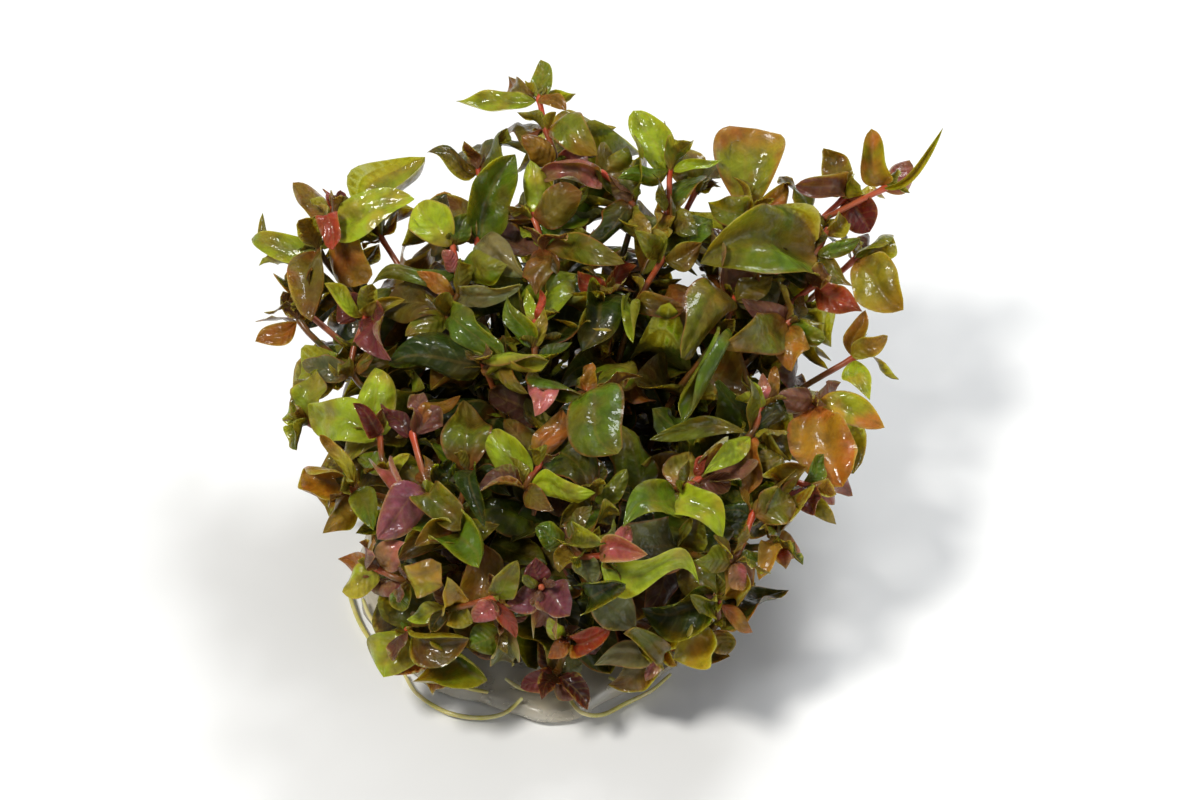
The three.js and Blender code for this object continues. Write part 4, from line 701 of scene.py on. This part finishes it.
class Build:
    def __init__(self):
        self.points = []
        self.faces = []
        self.slots = []
        self.fields = {field: [] for field in FIELDS}
        self.size = 0

    def add(self, points, faces, slot, **fields):
        points = np.asarray(points, float)
        self.points.append(points)
        self.faces.extend([[i + self.size for i in face] for face in faces])
        self.slots.extend([slot] * len(faces))
        self.size += len(points)
        for field in FIELDS:
            value = np.asarray(fields.get(field, 0.0), float)
            shape = (len(points), 4) if field in COLOURS else (len(points),)
            self.fields[field].append(np.broadcast_to(value, shape))

    def make(self, name, materials):
        mesh = bpy.data.meshes.new(name)
        mesh.from_pydata((np.concatenate(self.points) * MM).tolist(), [], self.faces)
        mesh.polygons.foreach_set("material_index", self.slots)
        mesh.polygons.foreach_set("use_smooth", [True] * len(self.faces))
        for field in FIELDS:
            kind, key = ("FLOAT_COLOR", "color") if field in COLOURS else ("FLOAT", "value")
            attribute = mesh.attributes.new(field, kind, "POINT")
            values = np.concatenate(self.fields[field])
            attribute.data.foreach_set(key, values.astype(np.float32).ravel())
        for material in materials:
            mesh.materials.append(material)
        mesh.validate()
        return in_scene(name, mesh)


# Leaf blades: an upper and a lower side that meet at the rim


def blade_faces(rows, columns):
    """Faces of both sides of a blade, upper side first."""
    faces = []
    for side, r, c in product(range(2), range(rows - 1), range(columns - 1)):
        a = (side * rows + r) * columns + c
        quad = [a, a + 1, a + columns + 1, a + columns]
        faces.append(quad if side else quad[::-1])
    return faces


class Form:
    """How a leaf's blade is bent, different for each leaf."""

    def __init__(self, number, odd):
        for name, (channel, *limits) in FORMS.items():
            setattr(self, name, within(limits, chance(number, channel, 11)))
        self.slim = 1
        if odd:
            # What the photograph doesn't show of them is calmer
            self.twist *= 0.3
            self.hook *= 0.5
            self.lopsided *= 0.5
            vars(self).update(odd)


def ovate(share, widest, point):
    """Half width along a leaf, 1 at its widest: round below, drawn out to a point above."""
    share = BLUNT + (1 - BLUNT) * share
    below = max(LEAST_ROUND, point * widest / (1 - widest))
    return (share / widest) ** below * ((1 - share) / (1 - widest)) ** point


def cross_section(sideways, fold, curl):
    """Where the blade is across itself, for a half width of 1: it folds at the midrib, then curls."""
    curl = np.where(np.abs(curl) > LEAST_CURL, curl, LEAST_CURL)
    out = np.abs(sideways)
    aside = (np.sin(fold + curl * out) - np.sin(fold)) / curl
    above = (np.cos(fold) - np.cos(fold + curl * out)) / curl
    return aside * np.sign(sideways), above


def blade_points(leaf, form, grid, thickness):
    rows, columns = grid
    share, sideways = np.meshgrid(np.linspace(0, 1, rows), np.linspace(-1, 1, columns), indexing="ij")
    outline = ovate(share, form.widest, form.point)
    spread = np.abs(cross_section(np.linspace(0, 1, 9), form.fold, form.curl)[0]).max()
    half = leaf.width / 2 * form.slim * FULLNESS / max(spread, LEAST_SPREAD) * outline
    # The curl is strongest halfway along, and the two halves of a blade differ
    curl = form.curl * (0.55 + 0.6 * np.sin(np.pi * share)) * (1 + form.lopsided * np.sign(sideways))
    aside, above = cross_section(sideways, form.fold, curl)
    phase = form.phase + 2.1 * np.sign(sideways)
    ripple = np.sin(2 * np.pi * form.wave_count * share + phase)
    above = above + ripple * form.wave * sideways ** 2
    crease = np.sin(7 * share + 3 * sideways + form.phase) * np.cos(4 * sideways - 2 * share)
    above = above + form.crumple * crease
    right = aside * half
    upper = above * half - MIDRIB_DEPTH * np.exp(-(sideways / MIDRIB_WIDTH) ** 2)
    turn = form.twist * (share - TWIST_START)
    right, upper = right * np.cos(turn) - upper * np.sin(turn), right * np.sin(turn) + upper * np.cos(turn)
    arch = 4 * leaf.bow * share * (1 - share) + form.hook * np.sin(2 * np.pi * share)
    upper = upper + arch * leaf.length
    sway = form.sway * 4 * share * (1 - share) + form.snake * np.sin(2 * np.pi * share)
    right = right + sway * leaf.length
    # The blade thins towards its rim, foot and point
    depth = thickness / 2 * np.sqrt(np.clip(1 - sideways ** 2, 0, 1)) * np.clip(outline * 3, 0.3, 1)
    spine = leaf.root + share[..., None] * leaf.length * leaf.along + right[..., None] * leaf.right
    top = spine + (upper + depth)[..., None] * leaf.upper
    low = spine + (upper - depth)[..., None] * leaf.upper
    return np.concatenate([top.reshape(-1, 3), low.reshape(-1, 3)]), share.ravel(), sideways.ravel()


def outer_part(points, share, grid, start):
    """The faces of a blade away from its stem, to find where it passes through other blades."""
    faces = [face for face in blade_faces(*grid) if share[face[0] % share.size] > start]
    return BVHTree.FromPolygons(points.tolist(), faces)


def add_leaf(build, leaf, number, grid, thickness, light, others, may_cross=True):
    """Add a blade to the build and to the others so far, and say whether it fits."""
    form = Form(number, ODD_FORMS.get(leaf.spot, {}))
    points, share, sideways = blade_points(leaf, form, grid, thickness)
    if not may_cross:
        outer = outer_part(points, share, grid, ROOT_SHARE)
        if points[:, 2].max() > HIGHEST or any(outer.overlap(other) for other in others):
            return False
    others.append(outer_part(points, share, grid, AXIL_SHARE))
    tone, turn = TONES[leaf.tone]
    # Random tone, times a darkening of low leaves that is partly their older colour and partly painted
    # shade; leaves round the dark middle get more painted shade below
    tone_and_painted_shade = within(LIGHT, chance(number, 6, 13)) * (1 - OLD_AND_DEEP_PAINTED_SHADE * leaf.age)
    if not leaf.spot:
        tone_and_painted_shade *= light
    build.add(
        points,
        blade_faces(*grid),
        0,
        tone=[*(c * tone_and_painted_shade for c in linear(tone)), 1],
        turn=[*(c * tone_and_painted_shade for c in linear(turn)), 1],
        along=np.tile(share, 2),
        across=np.tile(sideways, 2),
        luck=form.luck,
        under=np.repeat([0.0, 1.0], share.size),
    )
    return True


# Young leaves at the joints and round the tip of a stem, too small for the solids


def young_leaf(stem_frame, angle, raised, length, width, shift, tone):
    place, along, u, v = stem_frame
    out = part_way(u, v, angle)
    root = place + along * shift + out * STEM_HALF * YOUNG_ROOT
    way = part_way(out, along, raised)
    return Leaf(root, root + way * length, along, 0, width, YOUNG_BOW, tone)


def young_leaves(number, frames, low):
    leaves = []
    last = len(frames) - 2
    for j, stem_frame in enumerate(frames[1:]):
        deep = j < last - 1
        tones = LOW_TONES if low else DEEP_TONES if deep else YOUNG_TONES
        for k in range(YOUNG_COUNT):
            mark = j * 10 + k
            length = within(DEEP_LENGTH if deep else YOUNG_LENGTH, chance(number, mark, 17))
            luck = chance(number, mark, 18)
            tone = one_of(tones, chance(number, mark, 19))
            angle = math.pi / 4 + math.pi / 2 * (k + j) + YOUNG_TURN * (luck - 0.5)
            raised = within(YOUNG_LIFT, luck)
            shift = within(YOUNG_SHIFT, luck)
            leaf = young_leaf(stem_frame, angle, raised, length, length * YOUNG_SLENDERNESS, shift, tone)
            leaf.age = 1 - j / (last + 1)
            leaves.append(leaf)
    # Four more at the very tip, the last two steeper and shorter
    for k in range(4):
        second = k // 2
        angle = math.pi / 2 * (k + 0.5 * second) + 0.4
        raised = 1.05 + 0.2 * second
        length = 2.6 - 0.7 * second
        tone = one_of(YOUNG_TONES, chance(number, k, 20))
        leaves.append(young_leaf(frames[-1], angle, raised, length, 1.3, 0.5, tone))
    return leaves


# Tubes: stems and roots


def smooth_path(stations, steps):
    """Points along a curve through the stations."""
    stations = np.asarray(stations)
    ends = np.concatenate([[2 * stations[0] - stations[1]], stations, [2 * stations[-1] - stations[-2]]])
    points = []
    for i in range(len(stations) - 1):
        a, b, c, d = ends[i:i + 4]
        for t in np.linspace(0, 1, steps, endpoint=False):
            points.append(0.5 * (2 * b + (c - a) * t + (2 * a - 5 * b + 4 * c - d) * t * t
                                 + (3 * b - a - 3 * c + d) * t ** 3))
    points.append(stations[-1])
    return np.array(points)


def ring_faces(rings, sides):
    """Faces between rings of points, each with one point for each side."""
    faces = []
    for i, k in product(range(rings - 1), range(sides)):
        a = i * sides + k
        b = i * sides + (k + 1) % sides
        faces.append([a, b, b + sides, a + sides])
    return faces


def add_tube(build, path, radii, slot, **fields):
    sides = TUBE_SIDES
    rings = []
    across = np.array([0.31, 0.95, 0.12])
    for i, point in enumerate(path):
        along = unit(path[min(len(path) - 1, i + 1)] - path[max(0, i - 1)])
        across = square(across, along)
        other = np.cross(along, across)
        for k in range(sides):
            rings.append(point + part_way(across, other, 2 * math.pi * k / sides) * radii[i])
    faces = ring_faces(len(path), sides)
    # A point past each end rounds it off
    count = len(rings)
    rings.append(path[0] - unit(path[1] - path[0]) * radii[0] * 0.5)
    rings.append(path[-1] + unit(path[-1] - path[-2]) * radii[-1] * 0.8)
    for k in range(sides):
        b = (k + 1) % sides
        faces.append([b, k, count])
        faces.append([count - sides + k, count - sides + b, count + 1])
    share = np.append(np.repeat(np.linspace(0, 1, len(path)), sides), [0, 1])
    build.add(rings, faces, slot, along=share, **fields)


# Materials


class Shading:
    """A material whose node tree is written as nested calls."""

    def __init__(self, name):
        self.material = bpy.data.materials.new(name)
        self.material.use_nodes = True
        self.tree = self.material.node_tree
        self.shader = self.tree.nodes["Principled BSDF"]

    def node(self, kind, inputs=None, output=0, **settings):
        made = self.tree.nodes.new(kind)
        for key, value in settings.items():
            setattr(made, key, value)
        for key, value in (inputs or {}).items():
            self.plug(made.inputs[key], value)
        return made.outputs[output]

    def plug(self, socket, value):
        if isinstance(value, bpy.types.NodeSocket):
            self.tree.links.new(value, socket)
        else:
            socket.default_value = value

    def field(self, name):
        output = "Color" if name in COLOURS else "Fac"
        return self.node("ShaderNodeAttribute", output=output, attribute_name=name)

    def math(self, operation, a, b=0.0):
        return self.node("ShaderNodeMath", {0: a, 1: b}, operation=operation)

    def between(self, value, low, high, to_low=0.0, to_high=1.0):
        inputs = {"Value": value, "From Min": low, "From Max": high, "To Min": to_low, "To Max": to_high}
        return self.node("ShaderNodeMapRange", inputs, interpolation_type="SMOOTHSTEP")

    def mix(self, factor, a, b):
        made = self.tree.nodes.new("ShaderNodeMix")
        made.data_type = "RGBA"
        self.plug(made.inputs[0], factor)
        self.plug(made.inputs[6], a)
        self.plug(made.inputs[7], b)
        return made.outputs[2]

    def noise(self, size_mm, detail=3.0):
        where = self.node("ShaderNodeTexCoord", output="Object")
        inputs = {"Vector": where, "Scale": 1 / (size_mm * MM), "Detail": detail}
        return self.node("ShaderNodeTexNoise", inputs)

    def bump(self, height, strength, depth_mm):
        inputs = {"Height": height, "Strength": strength, "Distance": depth_mm * MM}
        return self.node("ShaderNodeBump", inputs)

    def rough(self, pattern, low, high):
        return self.between(pattern, 0.3, 0.7, low, high)

    def set(self, **values):
        for key, value in values.items():
            self.plug(self.shader.inputs[key.replace("_", " ")], value)


def colour(*rgb):
    return (*linear(rgb), 1)


def leaf_material():
    s = Shading("leaf")
    along, across = s.field("along"), s.field("across")
    aside = s.math("ABSOLUTE", across)
    luck = s.field("luck")
    patches = s.between(s.noise(5, 2), 0.42, 0.66)
    base = s.mix(s.math("MULTIPLY", patches, 0.75), s.field("tone"), s.field("turn"))
    rim = s.between(aside, 0.8, 1.0, 0, 0.7)
    tip = s.between(along, 0.5, 1.0, 0, 0.7)
    foot = s.between(along, 0.0, 0.3, 0.9, 0)
    edge = s.math("MAXIMUM", s.math("MAXIMUM", rim, tip), foot)
    flush = s.math("MULTIPLY", edge, s.between(luck, 0.3, 0.95, 0.05, 0.9))
    base = s.mix(flush, base, s.field("turn"))
    blush = s.math("MULTIPLY", foot, s.between(luck, 0.55, 0.65, 0, 0.4))
    base = s.mix(blush, base, colour(140, 58, 40))
    slant = s.math("SUBTRACT", along, s.math("MULTIPLY", aside, 0.22))
    veins = s.math("SINE", s.math("MULTIPLY", slant, 40))
    base = s.mix(s.between(veins, 0.6, 1.0, 0, 0.06), base, colour(150, 150, 80))
    midrib = s.between(aside, 0.02, 0.09, 0.18, 0)
    base = s.mix(midrib, base, colour(150, 120, 60))
    margin = s.math("MULTIPLY", s.between(aside, 0.88, 0.97), s.between(luck, 0.35, 0.6, 0, 0.5))
    base = s.mix(margin, base, colour(146, 62, 40))
    shade = s.between(s.noise(2.2, 3), 0.35, 0.75, 0, 0.5)
    base = s.mix(shade, base, colour(36, 36, 10))
    base = s.mix(s.math("MULTIPLY", s.field("under"), 0.2), base, colour(104, 92, 50))
    fine = s.noise(1.1, 3)
    ribs = s.math("ADD", s.noise(1.3, 3), s.math("MULTIPLY", veins, 0.08))
    s.set(Base_Color=base, Roughness=s.rough(fine, 0.32, 0.5), Normal=s.bump(ribs, 0.7, 0.45))
    s.set(IOR=1.36, Specular_IOR_Level=0.22, Coat_Weight=0.5, Coat_Roughness=0.04, Coat_IOR=1.36)
    s.set(Coat_Normal=s.bump(s.noise(1.7, 2), 0.7, 0.5))
    s.set(Subsurface_Weight=0.5, Subsurface_Scale=0.001, Subsurface_Radius=(0.95, 0.68, 0.2))
    return s.material


def stem_material():
    s = Shading("stem")
    along = s.field("along")
    young = s.mix(s.between(s.noise(2.2), 0.35, 0.65), colour(186, 66, 38), colour(196, 98, 66))
    old = s.mix(s.between(s.noise(1.6), 0.35, 0.65), colour(64, 62, 22), colour(104, 66, 28))
    base = s.mix(s.between(along, 0.62, 0.92), old, young)
    fine = s.noise(0.6)
    s.set(Base_Color=base, Roughness=s.rough(fine, 0.24, 0.42), Normal=s.bump(fine, 0.3, 0.1))
    s.set(IOR=1.36, Coat_Weight=0.3, Coat_Roughness=0.08, Subsurface_Weight=0.15, Subsurface_Scale=0.0008)
    return s.material


def gel_material():
    s = Shading("gel")
    cloud = s.noise(7, 2)
    base = s.mix(s.between(cloud, 0.3, 0.7), colour(252, 248, 236), colour(240, 229, 204))
    fine = s.noise(2.5, 2)
    s.set(Base_Color=base, Roughness=s.rough(fine, 0.12, 0.3), Normal=s.bump(cloud, 0.4, 0.5))
    s.set(IOR=1.34, Transmission_Weight=0.6, Coat_Weight=0.3, Coat_Roughness=0.08)
    return s.material


def root_material():
    s = Shading("root")
    base = s.mix(s.between(s.noise(2.5), 0.35, 0.65), colour(190, 182, 100), colour(208, 198, 140))
    fine = s.noise(0.5)
    s.set(Base_Color=base, Roughness=s.rough(fine, 0.22, 0.4), Normal=s.bump(fine, 0.3, 0.1))
    s.set(IOR=1.38, Coat_Weight=0.4, Coat_Roughness=0.1, Subsurface_Weight=0.2, Subsurface_Scale=0.0008)
    return s.material


def floor_material():
    s = Shading("floor")
    base = s.mix(s.between(s.noise(40), 0.3, 0.7), colour(232, 232, 230), colour(238, 238, 236))
    s.set(Base_Color=base, Roughness=0.7)
    return s.material


# Camera, lights and floor


def make_camera():
    data = bpy.data.cameras.new("camera")
    data.lens = LENS
    data.sensor_width = SENSOR
    data.clip_start = NEAREST_SEEN * MM
    made = in_scene("camera", data)
    place = MIDDLE + NEARER * VIEW_DISTANCE
    axes = Matrix([RIGHT.tolist(), UPWARD.tolist(), NEARER.tolist()]).transposed()
    made.matrix_world = Matrix.Translation(Vector(place) * MM) @ axes.to_4x4()
    bpy.context.scene.camera = made


def make_light(name, place, size, watts, tint):
    data = bpy.data.lights.new(name, "AREA")
    data.shape = "DISK"
    data.size = size * MM
    data.energy = watts
    data.color = tint
    made = in_scene(name, data)
    made.location = Vector(place) * MM
    aim = Vector(LIGHTS_AIM) - Vector(place)
    made.rotation_mode = "QUATERNION"
    made.rotation_quaternion = aim.to_track_quat("-Z", "Y")


def make_stage():
    for row in LIGHTS:
        make_light(*row)
    world = bpy.data.worlds.new("studio")
    bpy.context.scene.world = world
    world.use_nodes = True
    sky = world.node_tree.nodes["Background"]
    sky.inputs["Color"].default_value = SKY
    sky.inputs["Strength"].default_value = SKY_STRENGTH
    mesh = bpy.data.meshes.new("floor")
    reach = FLOOR_REACH * MM
    corners = [(-reach, -reach, 0), (reach, -reach, 0), (reach, reach, 0), (-reach, reach, 0)]
    mesh.from_pydata(corners, [], [(0, 1, 2, 3)])
    mesh.materials.append(floor_material())
    floor = in_scene("floor", mesh)
    floor.location.z = -FLOOR_DROP * MM
    bpy.context.scene.view_settings.view_transform = "Standard"


# The object


def pad_reach(azimuth):
    off = (azimuth - PAD_LOBE_AZIMUTH + 540) % 360 - 180
    a = math.radians(azimuth)
    lobe = PAD_LOBE * math.exp(-(off / PAD_LOBE_WIDTH) ** 2)
    return PAD_RADIUS - PAD_DRIFT * math.cos(a) + 0.3 * math.sin(5 * a) + lobe


def make_pad(material):
    # Rings of points, over the rim and to the middle: (share of the thickness, how far past the rim)
    layers = [(0, -PAD_EDGE), (0.15, -0.45), (0.35, 0), (0.7, -0.15), (0.93, -0.6), (1, -PAD_EDGE),
              (0.97, -2), (0.86, -3.4), (0.95, -5.5), (0.97, -13), (0.95, -19)]
    points = []
    for (height, inset), i in product(layers, range(PAD_CORNERS)):
        azimuth = 360 * i / PAD_CORNERS
        a = math.radians(azimuth)
        ripple = 0.18 * math.sin(9 * a + 2) + 0.12 * math.sin(17 * a) + 0.1 * math.sin(31 * a + 1)
        reach = pad_reach(azimuth) + inset + (ripple if height > 0.1 else 0)
        sag = 0.07 * math.sin(13 * a + 4) + 0.05 * math.sin(23 * a + inset) - 0.08
        level = PAD_THICKNESS * (height + (sag if height > 0.5 else 0))
        points.append((reach * math.cos(a), reach * math.sin(a), level))
    faces = ring_faces(len(layers), PAD_CORNERS)
    faces.append(list(range(PAD_CORNERS))[::-1])
    faces.append(list(range(len(points)))[-PAD_CORNERS:])
    mesh = bpy.data.meshes.new("gel_pad_visual")
    mesh.from_pydata((np.array(points) * MM).tolist(), [], faces)
    mesh.polygons.foreach_set("use_smooth", [True] * len(faces))
    mesh.materials.append(material)
    return in_scene("gel_pad_visual", mesh)


def place_piece(piece, node):
    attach(piece, "root")
    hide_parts(node)


def make_root(name, row, material):
    build = Build()
    path = smooth_path([on_height(*spot) for spot in row], ROOT_STEPS)
    radii = [ROOT_RADIUS * (0.62 + 0.24 * math.sin(3.1 * i / (len(path) - 1))) for i in range(len(path))]
    add_tube(build, path, radii, 0)
    return build.make("root_%s_visual" % name, [material])


def add_stem(build, frames, number):
    places = [place for place, _, _, _ in frames]
    end = places[-1] + frames[-1][1] * STEM_TIP * 0.6
    path = smooth_path(places + [end], STEM_STEPS)
    radii = []
    for i in range(len(path)):
        up = i / (len(path) - 1)
        swell = 1 if i % STEM_STEPS else JOINT_SWELL
        radii.append(STEM_RADIUS * (1.1 - STEM_TAPER * up) * swell)
    radii[-1] = STEM_RADIUS * 0.45
    add_tube(build, path, radii, 1, luck=chance(number, 8, 12))


class Shoot:
    """One stem with its leaves. Young leaves come once the larger leaves of all shoots are there."""

    def __init__(self, name, number, read_joints, others):
        self.name = "shoot_" + name
        self.number = number
        self.low = name.startswith("low")
        # Painted shade darkens the leaves of the shoots round the dark middle
        self.light = HOLLOW_PAINTED_SHADE if name in HOLLOW_SHOOTS else 1
        corners = Corners(self.name)
        joints, self.frames = stem_of(read_joints, number, corners)
        self.build = Build()
        add_stem(self.build, self.frames, number)
        for i, leaf in enumerate(leaves_of(number, joints, self.frames, corners)):
            grid = FINE_GRID if leaf.spot else PLAIN_GRID
            add_leaf(self.build, leaf, number * MARKS + i, grid, THICKNESS, self.light, others)

    def add_young(self, others):
        for i, leaf in enumerate(young_leaves(self.number, self.frames, self.low)):
            mark = self.number * MARKS + i + 0.5
            for _ in range(YOUNG_TRIES):
                if add_leaf(
                    self.build, leaf, mark, YOUNG_GRID, YOUNG_THICKNESS, self.light, others, may_cross=False
                ):
                    break
                leaf.length *= SMALLER
                leaf.width *= SMALLER


def full(row):
    """A leaf's row with the values that it leaves out."""
    return row + USUAL[len(row) - 4:]


def read_shoot(joints):
    return [(on_surface(*joint[:3]), [full(row) for row in joint[3:]]) for joint in joints]


def hidden_shoot(azimuth, reach, height):
    a = math.radians(azimuth)
    return [(np.array([reach * math.cos(a), reach * math.sin(a), height]), [])]


make_camera()
make_stage()

place_piece(make_pad(gel_material()), "gel_pad")

root_skin = root_material()
for root_name, *root_row in ROOTS:
    place_piece(make_root(root_name, root_row, root_skin), "root_" + root_name)

shoot_skins = [leaf_material(), stem_material()]
plans = [(shoot_name, read_shoot(joints)) for shoot_name, *joints in SHOOTS]
plans += [("back_%d" % (i + 1), hidden_shoot(*tip)) for i, tip in enumerate(HIDDEN_SHOOTS)]
blades = []
shoots = [Shoot(shoot_name, i, plan, blades) for i, (shoot_name, plan) in enumerate(plans)]
for shoot in shoots:
    shoot.add_young(blades)
    place_piece(shoot.build.make(shoot.name + "_visual", shoot_skins), shoot.name)
